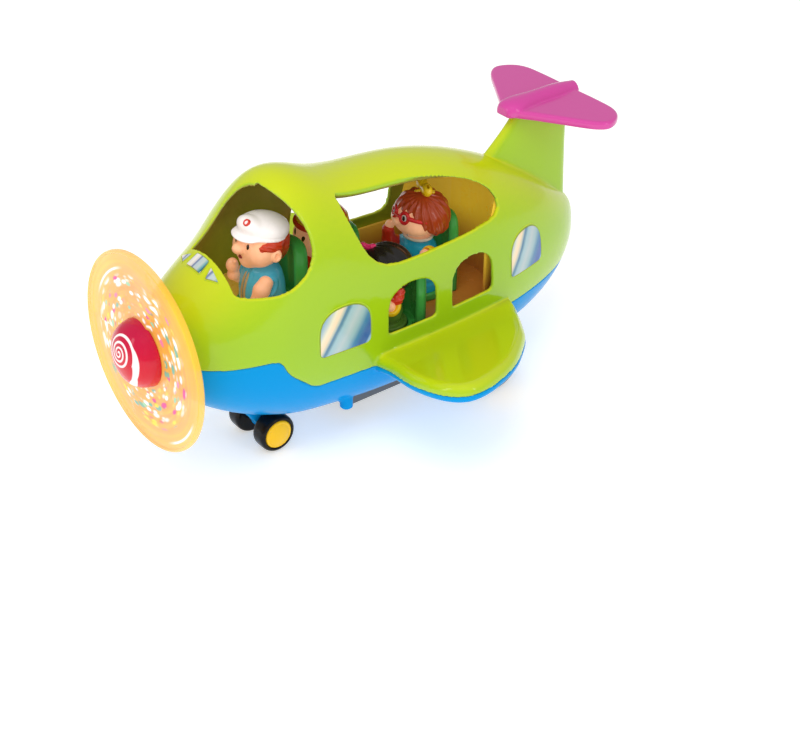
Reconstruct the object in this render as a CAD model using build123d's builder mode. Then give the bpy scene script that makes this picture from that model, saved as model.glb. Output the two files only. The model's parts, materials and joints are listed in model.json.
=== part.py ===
from build123d import *
import math
import os

# ----------------------------------------------------------------------------
# Toy airplane with a carry-handle roof, four peg figures, a motor-driven
# propeller and rolling wheels.
# Frame: +X towards the nose, +Y to the port (left) side, +Z up.
# Origin: on the ground, under the middle of the overall length.
# Millimetres. "d" is always a distance behind the propeller disc.
# ----------------------------------------------------------------------------
PROP_X = 175.0          # x of the propeller disc
PROP_Z = 105.2          # height of the propeller shaft
PROP_R = 68.8           # propeller disc radius
SPIN_R = 23.4           # spinner base radius
SPIN_LEN = 21.0         # spinner tip ahead of the disc
WALL = 2.8              # moulded wall of both shells
SEAM_Z = 65.0           # height of the joint line between the two shells
SEAM_NOSE_Z = 97.0      # height of the joint line round the nose
DIHEDRAL = 0.20         # wing rise per mm of span
WING_Y0 = 53.0          # span station where the wing leaves the body
FIN_TOP = 185.5         # underside of the stabiliser
FRONT_AXLE_D, FRONT_R = 88.7, 13.9
REAR_AXLE_D, REAR_R = 256.0, 27.0
AXLE_R = 2.0            # steel axle radius
RUN_FIT = 0.06          # radial running clearance
GEAR_MODULE = 0.8
PROP_TEETH, PINION_TEETH = 40, 10
TUB_FLOOR = 70.0        # top of the cabin floor
DECK_Z = 105.0          # top of the cockpit deck
SWITCH_TRAVEL = 4.0

# Fuselage stations: d, bottom z, top z, z of the widest line, half width,
# fullness exponent above and below the widest line
STATIONS = [
    (9, 94, 120, 107, 12, 2.0, 2.0),
    (14, 80, 132, 106, 23, 2.0, 2.0),
    (26, 62, 143, 104, 36, 2.0, 2.1),
    (45, 47, 157, 101, 46, 2.0, 2.1),
    (62, 38, 170, 100, 51, 2.05, 2.2),
    (80, 31, 190, 99, 54, 2.15, 2.3),
    (97, 26, 203, 98, 55, 2.2, 2.4),
    (115, 23, 203, 97, 56, 2.2, 2.4),
    (135, 21, 196, 95, 57, 2.15, 2.4),
    (170, 19, 189, 93, 58, 2.15, 2.4),
    (210, 19, 185, 91, 57, 2.15, 2.4),
    (250, 21, 175, 90, 54, 2.1, 2.4),
    (290, 25, 158, 88, 47, 2.0, 2.3),
    (320, 32, 140, 86, 38, 2.0, 2.2),
    (345, 45, 122, 84, 27, 2.0, 2.1),
    (361, 60, 110, 83, 16, 2.0, 2.0),
    (371, 76, 97, 85, 5, 2.0, 2.0),
]

os.makedirs("parts", exist_ok=True)


def sx(d):
    """x of a station d behind the propeller disc."""
    return PROP_X - d


def hull_ring(st, grow, n=20):
    """Points (y, z) round one fuselage section, grown (or shrunk) by grow."""
    d, zb, zt, zc, w, nu, nl = st
    zb, zt, w = zb - grow, zt + grow, w + grow
    pts = []
    for k in range(n):
        t = 2 * math.pi * k / n
        c, s = math.cos(t), math.sin(t)
        e = nu if s >= 0 else nl
        h = (zt - zc) if s >= 0 else (zc - zb)
        y = w * math.copysign(abs(c) ** (2 / e), c) if abs(c) > 1e-9 else 0.0
        z = zc + h * math.copysign(abs(s) ** (2 / e), s) if abs(s) > 1e-9 else zc
        pts.append((y, z))
    return pts


def hull_form(grow, skip_front=0, skip_rear=0, front_add=0.0, rear_add=0.0):
    """The solid egg-shaped fuselage form through its stations."""
    rows = [list(r) for r in STATIONS[skip_front:len(STATIONS) - skip_rear]]
    rows[0][0] -= front_add
    rows[-1][0] += rear_add
    with BuildPart() as form:
        for r in rows:
            with BuildSketch(Plane.YZ.offset(sx(r[0]))):
                with BuildLine():
                    Spline(*hull_ring(r, grow), periodic=True)
                make_face()
        loft()
    return form.part


def prism_xz(points, y0, y1, closed_spline=False):
    """A profile in the XZ plane (d, z) run along Y from y0 to y1."""
    pts = [(sx(d), z) for d, z in points]
    with BuildPart() as p:
        with BuildSketch(Plane.XZ.offset(-y1)):
            with BuildLine():
                if closed_spline:
                    Spline(*pts, periodic=True)
                else:
                    Polyline(*pts, close=True)
            make_face()
        extrude(amount=y1 - y0)
    return p.part


def save(part, name):
    part.label = name
    export_step(part, f"parts/{name}.step")


# ----------------------------------------------------------------------------
# Shared forms
# ----------------------------------------------------------------------------
outer = hull_form(0.0)
inner = hull_form(-WALL, front_add=-4.0, rear_add=-5.0)
liner_out = hull_form(-WALL - 0.5, skip_front=2, skip_rear=2)
liner_in = hull_form(-WALL - 2.5, skip_front=2, skip_rear=2)
skin_out = hull_form(0.35, skip_front=1, skip_rear=1)

# Region below the joint line: level along the cabin, stepping up in an S
# behind the nose
with BuildPart() as below_seam:
    with BuildSketch(Plane.XZ.offset(-200)):
        with BuildLine():
            a = (sx(400), SEAM_Z)
            b = (sx(104), SEAM_Z)
            c = (sx(64), SEAM_NOSE_Z)
            e = (sx(-20), SEAM_NOSE_Z + 2)
            Line(a, b)
            Spline(b, (sx(92), 70.5), (sx(84), 77.5), (sx(75), 87.5), c,
                   tangents=[(1, 0), (1, 0)])
            Polyline(c, e, (sx(-20), -10), (sx(400), -10), a)
        make_face()
    extrude(amount=400)
below = below_seam.part

# Arched cabin window profile, d0..d1 wide, z0..z1 high


def arch_points(d0, d1, z0, z1, grow=0.0):
    d0, d1, z0, z1 = d0 - grow, d1 + grow, z0 - grow, z1 + grow
    w, h = d1 - d0, z1 - z0
    cd = (d0 + d1) / 2
    pts = []
    zs = z0 + h * 0.50
    for k in range(13):
        t = math.pi * k / 12
        cc, s = math.cos(t), math.sin(t)
        pts.append((cd + (w / 2) * math.copysign(abs(cc) ** 0.85, cc),
                    zs + (z1 - zs) * s ** 0.85))
    r = 3.0 + grow
    for (px, pz, a0) in ((d0 + r, z0 + r, 180), (d1 - r, z0 + r, 270)):
        for k in range(4):
            t = math.radians(a0 + 30 * k)
            pts.append((px + r * math.cos(t), pz + r * math.sin(t)))
    return pts


WINDOWS = [  # d0, d1, z0, z1, open
    (100, 139.5, 89, 121.5, False),
    (155, 197, 87.5, 121, True),
    (211, 250, 88, 121, True),
    (270, 305.5, 88.5, 118.5, False),
]

COCKPIT = [  # cockpit opening on the port side, (d, z)
    (50.0, 143.6), (53.0, 142.4), (58.0, 141.7), (64.0, 141.3), (70.5, 141.4),
    (77.0, 142.0), (83.0, 143.6), (88.5, 146.2), (94.0, 150.0), (98.2, 154.6),
    (101.2, 160.0), (102.6, 166.0), (102.6, 173.0), (101.2, 180.0),
    (98.6, 187.0), (95.4, 193.0), (91.8, 197.6), (87.5, 201.0), (86.0, 232.0),
    (50.0, 232.0),
]

CABIN = [  # big cabin opening under the handle, port side, (d, z)
    (133.2, 186.0), (136.2, 189.5), (142.0, 190.0), (155.0, 187.6),
    (170.0, 184.2), (186.0, 181.2), (203.0, 178.0), (218.0, 174.6),
    (232.0, 170.2), (244.0, 165.4), (254.5, 159.8), (262.0, 153.5),
    (265.3, 147.0), (264.4, 141.6), (259.5, 138.4), (252.0, 137.3),
    (238.0, 136.8), (220.0, 136.4), (200.0, 136.2), (180.0, 136.2),
    (167.0, 136.8), (157.5, 138.6), (150.2, 142.4), (144.6, 148.2),
    (140.6, 156.0), (137.6, 165.0), (134.6, 176.0),
]

FAR_WINDOW = [  # rounded rectangular window high on the starboard side
    (153.0, 118.0), (155.0, 113.5), (160.0, 111.0), (171.0, 110.4),
    (200.0, 109.6), (229.0, 109.4), (234.5, 110.6), (238.0, 114.0),
    (238.8, 119.0), (238.6, 134.0), (237.2, 141.0), (232.0, 145.5),
    (224.0, 147.0), (200.0, 148.5), (165.0, 149.5), (157.0, 147.6),
    (153.2, 143.0), (152.4, 136.0),
]

# Wing plan, (d, y) of the rim; the root lies inside the body wall
WING = [
    (145.5, 60.0), (145.2, 73.0), (142.2, 92.0), (141.8, 108.0),
    (143.8, 122.0), (148.2, 133.0), (154.8, 139.4), (163.5, 141.6),
    (174.0, 140.6), (184.0, 137.8), (196.0, 133.2), (208.0, 127.0),
    (219.5, 118.8), (230.0, 110.2), (238.2, 102.4), (245.0, 93.6),
    (254.8, 79.4), (264.0, 65.2),
]
WING_ROOT_Y = 50.0


def wing_plane(side, lift=0.0):
    a = math.atan(DIHEDRAL)
    o = Vector(0, side * WING_Y0, SEAM_Z)
    n = Vector(0, -side * math.sin(a), math.cos(a))
    o = o + n * lift
    return Plane(origin=o, x_dir=(1, 0, 0), z_dir=n)


def wing_slab(side, inset, lift, height, taper=0.0):
    """One wing slab: rim plan moved in by inset, standing on the wing plane."""
    a = math.atan(DIHEDRAL)
    cd, cy = 203.0, 60.0
    pts = []
    for d, y in WING:
        vx, vy = d - cd, y - cy
        ln = math.hypot(vx, vy)
        k = (ln - inset) / ln
        d2, y2 = cd + vx * k, cy + vy * k
        pts.append((sx(d2), side * (y2 - WING_Y0) / math.cos(a)))
    y_root = side * (WING_ROOT_Y - WING_Y0) / math.cos(a)
    first = (pts[0][0], y_root)
    last = (pts[-1][0] - 6.0, y_root)
    with BuildPart() as w:
        with BuildSketch(wing_plane(side, lift)):
            with BuildLine():
                Spline(*pts)
                Polyline(pts[-1], last, first, pts[0])
            make_face()
        extrude(amount=height, taper=taper)
    return w.part


# The cockpit cutter: its far rear corner over the crown is rounded in plan
CUT_Y0, CUT_R = -17.5, 17.0
with BuildPart() as cut_corner:
    with BuildSketch(Plane.XY.offset(170.0)):
        with Locations((sx(93.25), CUT_Y0 + CUT_R / 2)):
            Rectangle(43.5, CUT_R)
        with Locations((sx(88.5 - CUT_R), CUT_Y0 + CUT_R)):
            Circle(CUT_R, mode=Mode.SUBTRACT)
    extrude(amount=70.0)
with BuildPart() as cockpit_cutter:
    add(prism_xz(COCKPIT, CUT_Y0, 90.0))
    add(cut_corner.part, mode=Mode.SUBTRACT)
cockpit_cut = cockpit_cutter.part

# ----------------------------------------------------------------------------
# Upper shell: green body top, carry handle, fin and wing tops
# ----------------------------------------------------------------------------
with BuildPart() as upper_shell:
    add(outer)
    add(inner, mode=Mode.SUBTRACT)
    add(below, mode=Mode.SUBTRACT)
    # cockpit opening reaches over the crown, cabin opening stops at it
    add(cockpit_cut, mode=Mode.SUBTRACT)
    add(prism_xz(CABIN, 2.0, 90.0), mode=Mode.SUBTRACT)
    add(prism_xz(FAR_WINDOW, -90.0, -20.0), mode=Mode.SUBTRACT)
    for d0, d1, z0, z1, is_open in WINDOWS:
        if is_open:
            add(prism_xz(arch_points(d0, d1, z0, z1), 20.0, 90.0), mode=Mode.SUBTRACT)

# Carry handle: an oval bar that runs under the crown of the roof
HANDLE = [(122, 203, 25, 9.5), (135, 196, 25, 9), (170, 189, 24, 8.5), (210, 185, 24, 8.5),
          (250, 175, 24, 8.5), (285, 160, 23, 9)]
with BuildPart() as handle_bar:
    for d, zt, hw, hh in HANDLE:
        with BuildSketch(Plane.YZ.offset(sx(d))) as hs:
            with Locations((0, zt - hh - 0.1)):
                Ellipse(hw, hh)
    loft()
    add(outer, mode=Mode.INTERSECT)

with BuildPart() as handle_clear:
    for d, zt, hw, hh in HANDLE:
        with BuildSketch(Plane.YZ.offset(sx(d))):
            with Locations((0, zt - hh - 0.1)):
                Ellipse(hw + 0.6, hh + 0.6)
    loft()


# Fin: a swept, slightly tapered blade rising out of the tail
def fin_section(z, d_le, d_te, half):
    n = 16
    cd, a = (d_le + d_te) / 2, (d_te - d_le) / 2
    pts = []
    for k in range(n):
        t = 2 * math.pi * k / n
        c, s = math.cos(t), math.sin(t)
        u = math.copysign(abs(c) ** 0.8, c) if abs(c) > 1e-9 else 0.0
        v = math.copysign(abs(s) ** 0.8, s) if abs(s) > 1e-9 else 0.0
        pts.append((sx(cd) + a * u, half * v))
    return pts


with BuildPart() as fin:
    for z, dl, dt, half in ((108, 262, 364.2, 11), (140, 267, 363.4, 8.6),
                            (162, 288.5, 362.4, 7.0), (FIN_TOP, 311.5, 361.0, 5.6)):
        with BuildSketch(Plane.XY.offset(z)):
            with BuildLine():
                Spline(*fin_section(z, dl, dt, half), periodic=True)
            make_face()
    loft()
    add(inner, mode=Mode.SUBTRACT)

body_below = outer & below
body_above = outer - below


def rim_edge(part, side_z):
    """The long curved edge of a wing slab on its top (1) or bottom (-1) face."""
    es = sorted(part.edges().filter_by(GeomType.BSPLINE), key=lambda e: e.center().Z)
    return es[-1] if side_z > 0 else es[0]


wing_top_slabs = []
for side in (1, -1):
    with BuildPart() as wt:
        add(wing_slab(side, 0.0, 0.0, 7.8))
        fillet(rim_edge(wt, 1), 6.0)
    wing_top_slabs.append(wt.part)

with BuildPart() as wing_tops:
    for p in wing_top_slabs:
        add(p)
    add(inner, mode=Mode.SUBTRACT)
    add(body_below, mode=Mode.SUBTRACT)

with BuildPart() as upper_full:
    add(upper_shell.part)
    add(handle_bar.part)
    add(fin.part)
    add(wing_tops.part)
with BuildPart() as upper_bored:
    add(upper_full.part)
    with BuildSketch(Plane.YZ.offset(sx(20.0))):
        with Locations((0, PROP_Z)):
            Circle(5.0)
    extrude(amount=20.0, mode=Mode.SUBTRACT)
save(upper_bored.part, "upper_shell")

# ----------------------------------------------------------------------------
# Lower hull: blue belly, wing undersides, nose gear leg, rear wheel wells
# ----------------------------------------------------------------------------
BOX_D0, BOX_D1, BOX_W, BOX_Z0, BOX_Z1 = 142.0, 212.0, 54.0, 18.0, 41.5
SCREWS = [(135.5, 36.0), (135.5, -36.0), (226.0, 32.0), (226.0, -32.0)]
SCREW_SEAT_Z = 46.0

wing_bottom_slabs = []
for side in (1, -1):
    with BuildPart() as wb:
        add(wing_slab(side, 0.0, -5.2, 5.2))
        fillet(rim_edge(wb, -1), 4.0)
    wing_bottom_slabs.append(wb.part)

with BuildPart() as wing_bottoms:
    for p in wing_bottom_slabs:
        add(p)
    add(inner, mode=Mode.SUBTRACT)
    add(body_above, mode=Mode.SUBTRACT)

with BuildPart() as wells:
    for side in (1, -1):
        with BuildSketch(Plane.XZ.offset(-side * 37.0)):
            with Locations((sx(REAR_AXLE_D), REAR_R)):
                Circle(REAR_R + 5.0)
        extrude(amount=-side * 30.0)
    add(outer, mode=Mode.INTERSECT)

with BuildPart() as lower_hull:
    add(outer)
    add(inner, mode=Mode.SUBTRACT)
    add(below, mode=Mode.INTERSECT)
    add(wing_bottoms.part)
    add(wells.part)
    # rear axle tube across the belly
    with BuildSketch(Plane.XZ.offset(-38.0)):
        with Locations((sx(REAR_AXLE_D), REAR_R)):
            Circle(5.2)
    extrude(amount=76.0)
    # nose gear leg: wide where it leaves the belly, round at the axle
    with BuildSketch(Plane.XZ.offset(-6.5)):
        with BuildLine():
            Polyline((sx(112), 27.5), (sx(66), 38.5), (sx(FRONT_AXLE_D - 5.4), 14.4),
                     (sx(FRONT_AXLE_D - 3.2), 9.6), (sx(FRONT_AXLE_D + 3.2), 9.2),
                     (sx(FRONT_AXLE_D + 5.6), 13.2), close=True)
        make_face()
    extrude(amount=13.0)
    # posts that carry the case screws
    for d, y in SCREWS:
        with BuildSketch(Plane.XY.offset(26.0)):
            with Locations((sx(d), y)):
                Circle(4.6)
        extrude(amount=SEAM_Z + 1.6 - 26.0)
    # cuts
    for side in (1, -1):
        with BuildSketch(Plane.XZ.offset(-side * 39.0)):
            with Locations((sx(REAR_AXLE_D), REAR_R)):
                Circle(REAR_R + 2.6)
        extrude(amount=-side * 22.0, mode=Mode.SUBTRACT)
    with BuildSketch(Plane.XZ.offset(-60.0)):
        with Locations((sx(REAR_AXLE_D), REAR_R)):
            Circle(AXLE_R + RUN_FIT)
    extrude(amount=120.0, mode=Mode.SUBTRACT)
    with BuildSketch(Plane.XZ.offset(-30.0)):
        with Locations((sx(FRONT_AXLE_D), FRONT_R)):
            Circle(AXLE_R + RUN_FIT)
    extrude(amount=60.0, mode=Mode.SUBTRACT)
    # battery bay
    with BuildSketch(Plane.XY.offset(10.0)):
        with Locations((sx((BOX_D0 + BOX_D1) / 2), 0)):
            Rectangle(BOX_D1 - BOX_D0 + 0.4, BOX_W + 0.4)
    extrude(amount=22.0, mode=Mode.SUBTRACT)
    # speaker slots
    for k in range(5):
        with BuildSketch(Plane.XY.offset(15.0)):
            with Locations((sx(124.0) + 4.0 * (k - 2), 0)):
                SlotOverall(22.0 - 4.0 * abs(k - 2), 1.8, rotation=90)
        extrude(amount=14.0, mode=Mode.SUBTRACT)
    # slot for the power switch
    with BuildSketch(Plane.XY.offset(12.0)):
        with Locations((sx(231.0), 0)):
            Rectangle(4.0 + SWITCH_TRAVEL + 0.8, 5.0)
    extrude(amount=16.0, mode=Mode.SUBTRACT)
    # screw holes and their seats
    for d, y in SCREWS:
        with BuildSketch(Plane.XY.offset(10.0)):
            with Locations((sx(d), y)):
                Circle(3.3)
        extrude(amount=SCREW_SEAT_Z - 10.0, mode=Mode.SUBTRACT)
        with BuildSketch(Plane.XY.offset(40.0)):
            with Locations((sx(d), y)):
                Circle(1.7)
        extrude(amount=30.0, mode=Mode.SUBTRACT)
save(lower_hull.part, "lower_hull")

with BuildPart() as case_screws:
    for d, y in SCREWS:
        with BuildSketch(Plane.XY.offset(SCREW_SEAT_Z - 2.2)):
            with Locations((sx(d), y)):
                Circle(2.8)
        extrude(amount=2.2)
        with BuildSketch(Plane.XY.offset(SCREW_SEAT_Z)):
            with Locations((sx(d), y)):
                Circle(1.4)
        extrude(amount=28.0)
        with BuildSketch(Plane.XY.offset(SCREW_SEAT_Z - 2.2)):
            with Locations((sx(d), y)):
                Rectangle(3.4, 0.8)
                Rectangle(0.8, 3.4)
        extrude(amount=1.1, mode=Mode.SUBTRACT)
save(case_screws.part, "case_screws")

# ----------------------------------------------------------------------------
# Tail stabiliser: swept tailplane with a raised centre ridge
# ----------------------------------------------------------------------------
STAB = [  # half plan (d, y)
    (303.0, 0.0), (304.6, 6.0), (310.0, 14.0), (317.5, 25.0), (325.0, 36.5),
    (333.0, 49.0), (339.5, 57.0), (346.0, 60.6), (354.0, 59.0),
    (361.0, 54.0), (365.2, 46.5), (366.6, 36.0), (366.9, 20.0), (367.0, 0.0),
]
with BuildPart() as tail_stabilizer:
    with BuildSketch(Plane.XY.offset(FIN_TOP)):
        with BuildLine():
            Spline(*[(sx(d), y) for d, y in STAB])
            Spline(*[(sx(d), -y) for d, y in STAB])
        make_face()
    extrude(amount=6.4)
    try:
        fillet(tail_stabilizer.faces().sort_by(Axis.Z)[-1].edges(), 2.4)
        fillet(tail_stabilizer.faces().sort_by(Axis.Z)[0].edges(), 2.0)
    except Exception:
        print("stabiliser rim left square")
with BuildPart() as ridge:
    for d, hw, hz in ((300.5, 5.0, 7.5), (304.0, 8.2, 10.4), (315.0, 9.0, 12.4),
                      (340.0, 7.4, 12.2), (362.0, 6.2, 11.0), (369.5, 5.2, 10.0)):
        with BuildSketch(Plane.YZ.offset(sx(d))):
            with BuildLine():
                Spline((-hw, FIN_TOP + 1.0), (-hw * 0.92, FIN_TOP + hz * 0.72),
                       (0, FIN_TOP + hz), (hw * 0.92, FIN_TOP + hz * 0.72),
                       (hw, FIN_TOP + 1.0))
                Line((hw, FIN_TOP + 1.0), (-hw, FIN_TOP + 1.0))
            make_face()
    loft()
with BuildPart() as stabilizer_full:
    add(tail_stabilizer.part)
    add(ridge.part)
save(stabilizer_full.part, "tail_stabilizer")

# ----------------------------------------------------------------------------
# Cabin tub (floor, side liners, curved rear bulkhead) and cockpit deck
# ----------------------------------------------------------------------------


def slab(d0, d1, y0, y1, z0, z1):
    with BuildPart() as s:
        with BuildSketch(Plane.XY.offset(z0)):
            with Locations((sx((d0 + d1) / 2), (y0 + y1) / 2)):
                Rectangle(d1 - d0, y1 - y0)
        extrude(amount=z1 - z0)
    return s.part


with BuildPart() as tub_void:
    add(liner_in)
    add(slab(120, 400, -100, 100, TUB_FLOOR, 260), mode=Mode.INTERSECT)

with BuildPart() as cabin_tub:
    add(slab(130.5, 292, -100, 0, TUB_FLOOR - 3.0, 101.0))
    add(slab(130.5, 292, 0, 100, TUB_FLOOR - 3.0, 84.0))
    add(liner_out, mode=Mode.INTERSECT)
    add(tub_void.part, mode=Mode.SUBTRACT)
# bulkhead: a wall bowed backwards behind the rear seat
with BuildPart() as bulkhead:
    with BuildSketch(Plane.XY.offset(TUB_FLOOR - 3.0)):
        with Locations((sx(232.0), 0)):
            Circle(50.0)
            Circle(47.8, mode=Mode.SUBTRACT)
        with Locations((sx(232.0 - 35.0), 0)):
            Rectangle(104.0, 104.0, mode=Mode.SUBTRACT)
    extrude(amount=104.0)
    add(liner_out, mode=Mode.INTERSECT)
    # stays below the carry handle bar
    add(handle_clear.part, mode=Mode.SUBTRACT)
with BuildPart() as tub_full:
    add(cabin_tub.part)
    add(bulkhead.part)
    for d, y in SCREWS:
        with BuildSketch(Plane.XY.offset(TUB_FLOOR - 0.5)):
            with Locations((sx(d), y)):
                Circle(3.6)
        extrude(amount=8.0)
    for d, y in SCREWS:
        with BuildSketch(Plane.XY.offset(SEAM_Z)):
            with Locations((sx(d), y)):
                Circle(1.45)
        extrude(amount=10.5, mode=Mode.SUBTRACT)
save(tub_full.part, "cabin_tub")

with BuildPart() as cockpit_deck:
    add(slab(47.0, 128.0, -100, 100, DECK_Z - 2.2, DECK_Z))
    add(slab(126.0, 128.0, -100, 100, TUB_FLOOR, DECK_Z))
    add(slab(46.5, 48.7, -100, 100, DECK_Z - 10.0, 141.0))
    add(liner_out, mode=Mode.INTERSECT)
save(cockpit_deck.part, "cockpit_deck")

# ----------------------------------------------------------------------------
# Seats and peg figures. A figure turns in the round socket of its seat.
# name: d, y, seat floor z, body height, head radius, seat back height
# ----------------------------------------------------------------------------
FIGURES = {
    "pilot": (93.0, 0.0, DECK_Z, 34.0, 16.4, 47.0),
    "rear_passenger": (227.0, 0.0, TUB_FLOOR, 41.0, 17.4, 63.0),
    "left_passenger": (176.0, 27.0, TUB_FLOOR, 31.0, 16.8, 46.0),
    "right_passenger": (160.0, -27.0, TUB_FLOOR, 41.0, 16.6, 58.0),
}
SOCKET_R = 15.6
PEG_R = 15.2
SEAT_FLOOR = 2.0


def make_seat(d, y, z, back):
    """Round cushion with a raised socket rim and a wrap-round back."""
    cx = sx(d)
    with BuildPart() as seat:
        with BuildSketch(Plane.XY.offset(z)):
            with Locations((cx, y)):
                Circle(18.6)
        extrude(amount=6.0)
        with BuildSketch(Plane.XY.offset(z + SEAT_FLOOR)):
            with Locations((cx, y)):
                Circle(SOCKET_R)
        extrude(amount=10.0, mode=Mode.SUBTRACT)
        with BuildSketch(Plane.XY.offset(z)):
            with BuildLine():
                a0, a1 = math.radians(134), math.radians(226)
                ri, ro = 20.4, 27.4
                p = [(cx + r * math.cos(a), y + r * math.sin(a))
                     for r, a in ((ri, a0), (ri, a1), (ro, a0), (ro, a1))]
                mi = (cx - ri, y)
                mo = (cx - ro, y)
                ThreePointArc(p[0], mi, p[1])
                ThreePointArc(p[2], mo, p[3])
                Line(p[0], p[2])
                Line(p[1], p[3])
            make_face()
        extrude(amount=back)
        # the back is rounded over at the top
        with BuildSketch(Plane.YZ.offset(cx - 40.0)):
            with Locations((y, z + back / 2 + 20)):
                Rectangle(60, back + 40)
            with Locations((y, z + back - 18.0)):
                Ellipse(18.2, 18.0, mode=Mode.SUBTRACT)
            with Locations((y, z + (back - 18.0) / 2 - 5.0)):
                Rectangle(60, back - 18.0 + 10.0, mode=Mode.SUBTRACT)
        extrude(amount=40.0, mode=Mode.SUBTRACT)
        # web between cushion and back
        with BuildSketch(Plane.XY.offset(z)):
            with Locations((cx - 19.0, y)):
                Rectangle(8.0, 22.0)
            with Locations((cx, y)):
                Circle(SOCKET_R, mode=Mode.SUBTRACT)
        extrude(amount=6.0)
    return seat.part


def make_body(d, y, z, h):
    """Peg body: round base, waist, rounded shoulders, short neck."""
    cx = sx(d)
    z0 = z + SEAT_FLOOR
    with BuildPart() as b:
        with BuildSketch(Plane(origin=(cx, y, z0), x_dir=(1, 0, 0), z_dir=(0, -1, 0))):
            with BuildLine():
                m = Polyline((0, 0), (PEG_R, 0), (PEG_R, 6.0))
                Spline((PEG_R, 6.0), (14.6, h * 0.45), (13.0, h * 0.78), (8.0, h * 0.97),
                       (6.0, h), tangents=[(0, 1), (-0.6, 1)])
                Polyline((6.0, h), (0, h), (0, 0))
            make_face()
        revolve(axis=Axis((cx, y, 0), (0, 0, 1)))
    return b.part


def make_head(d, y, z, h, r):
    """Round head, flat where it meets the neck."""
    cx = sx(d)
    cut = z + SEAT_FLOOR + h
    with BuildPart() as hd:
        with Locations((cx, y, cut + r * 0.93)):
            Sphere(r)
        add(slab(d - 40, d + 40, y - 40, y + 40, cut - 40, cut), mode=Mode.SUBTRACT)
    return hd.part


for name, (d, y, z, h, r, back) in FIGURES.items():
    seat_part = make_seat(d, y, z, back)
    if name != "pilot":
        with BuildPart() as seat_trim:
            add(seat_part)
            add(liner_in, mode=Mode.INTERSECT)
        seat_part = seat_trim.part
    save(seat_part, f"{name}_seat")
    save(make_body(d, y, z, h), f"{name}_body")
    save(make_head(d, y, z, h, r), f"{name}_head")

# The pilot's cap: crown and a short peak, seated on top of the head
pd, py, pz, ph, pr, _ = FIGURES["pilot"]
cap_z = pz + SEAT_FLOOR + ph + pr * 0.93 + 4.0
with BuildPart() as pilot_cap:
    with BuildSketch(Plane.XY.offset(cap_z)):
        with Locations((sx(pd) + 1.0, py)):
            Ellipse(16.8, 16.6)
    extrude(amount=14.0)
    fillet(pilot_cap.faces().sort_by(Axis.Z)[-1].edges(), 8.0)
    with BuildSketch(Plane.XY.offset(cap_z)):
        with Locations((sx(pd) + 10.0, py)):
            Ellipse(12.0, 12.0)
    extrude(amount=2.6)
    with Locations((sx(pd), py, cap_z - 4.0)):
        Sphere(pr + 0.05, mode=Mode.SUBTRACT)
save(pilot_cap.part, "pilot_cap")

# ----------------------------------------------------------------------------
# Propeller, spinner, shaft, bush, gears, motor, gearbox
# ----------------------------------------------------------------------------
yz = Plane.YZ


def disc_x(d, r, length, y=0.0, z=PROP_Z, hole=0.0):
    """Round bar along X: rear face at d, running forwards by length."""
    with BuildPart() as c:
        with BuildSketch(yz.offset(sx(d))):
            with Locations((y, z)):
                Circle(r)
                if hole:
                    Circle(hole, mode=Mode.SUBTRACT)
        extrude(amount=length)
    return c.part


SHAFT_R = 2.0
with BuildPart() as propeller:
    # thin clear web with a beaded rim
    with BuildSketch(Plane(origin=(PROP_X, 0, PROP_Z), x_dir=(1, 0, 0), z_dir=(0, -1, 0))):
        with BuildLine():
            Polyline((-2.0, 12.0), (-0.9, 20.0), (-0.9, PROP_R - 3.2), (-2.2, PROP_R - 2.2),
                     (-2.4, PROP_R - 1.0), (-1.4, PROP_R), (1.4, PROP_R), (2.4, PROP_R - 1.0),
                     (2.2, PROP_R - 2.2), (0.9, PROP_R - 3.2), (0.9, 20.0), (1.4, 12.0),
                     (1.4, SHAFT_R + 0.02), (-7.0, SHAFT_R + 0.02), (-7.0, 6.0), (-2.0, 7.0),
                     close=True)
        make_face()
    revolve(axis=Axis((0, 0, PROP_Z), (1, 0, 0)))
    # two broad paddle blades moulded into the web
    with BuildSketch(yz.offset(PROP_X - 1.8)):
        for s in (1, -1):
            with Locations((0, PROP_Z + s * 40.0)):
                Ellipse(15.0, 27.0)
        with Locations((0, PROP_Z)):
            Circle(14.0)
    extrude(amount=3.6)
    with BuildSketch(yz.offset(PROP_X - 10.0)):
        with Locations((0, PROP_Z)):
            Circle(SHAFT_R + 0.02)
    extrude(amount=20.0, mode=Mode.SUBTRACT)
save(propeller.part, "propeller")

with BuildPart() as spinner:
    with BuildSketch(Plane(origin=(PROP_X, 0, PROP_Z), x_dir=(1, 0, 0), z_dir=(0, -1, 0))):
        with BuildLine():
            Line((2.0, 0), (2.0, SPIN_R))
            Spline((2.0, SPIN_R), (8.0, SPIN_R * 0.95), (14.0, SPIN_R * 0.80), (18.6, SPIN_R * 0.56),
                   (SPIN_LEN, 0), tangents=[(1, 0.0), (0.05, -1)])
            Line((SPIN_LEN, 0), (2.0, 0))
        make_face()
    revolve(axis=Axis((0, 0, PROP_Z), (1, 0, 0)))
    with BuildSketch(yz.offset(PROP_X + 1.0)):
        with Locations((0, PROP_Z)):
            Circle(SHAFT_R + 0.02)
    extrude(amount=9.0, mode=Mode.SUBTRACT)
save(spinner.part, "spinner")

save(disc_x(42.9, SHAFT_R, 42.9 + 9.5), "propeller_shaft")

with BuildPart() as nose_bush:
    add(disc_x(14.5, 5.0, 6.7, hole=SHAFT_R + RUN_FIT))
    add(disc_x(14.5, 7.0, 1.4, hole=SHAFT_R + RUN_FIT))
save(nose_bush.part, "nose_bush")


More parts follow.
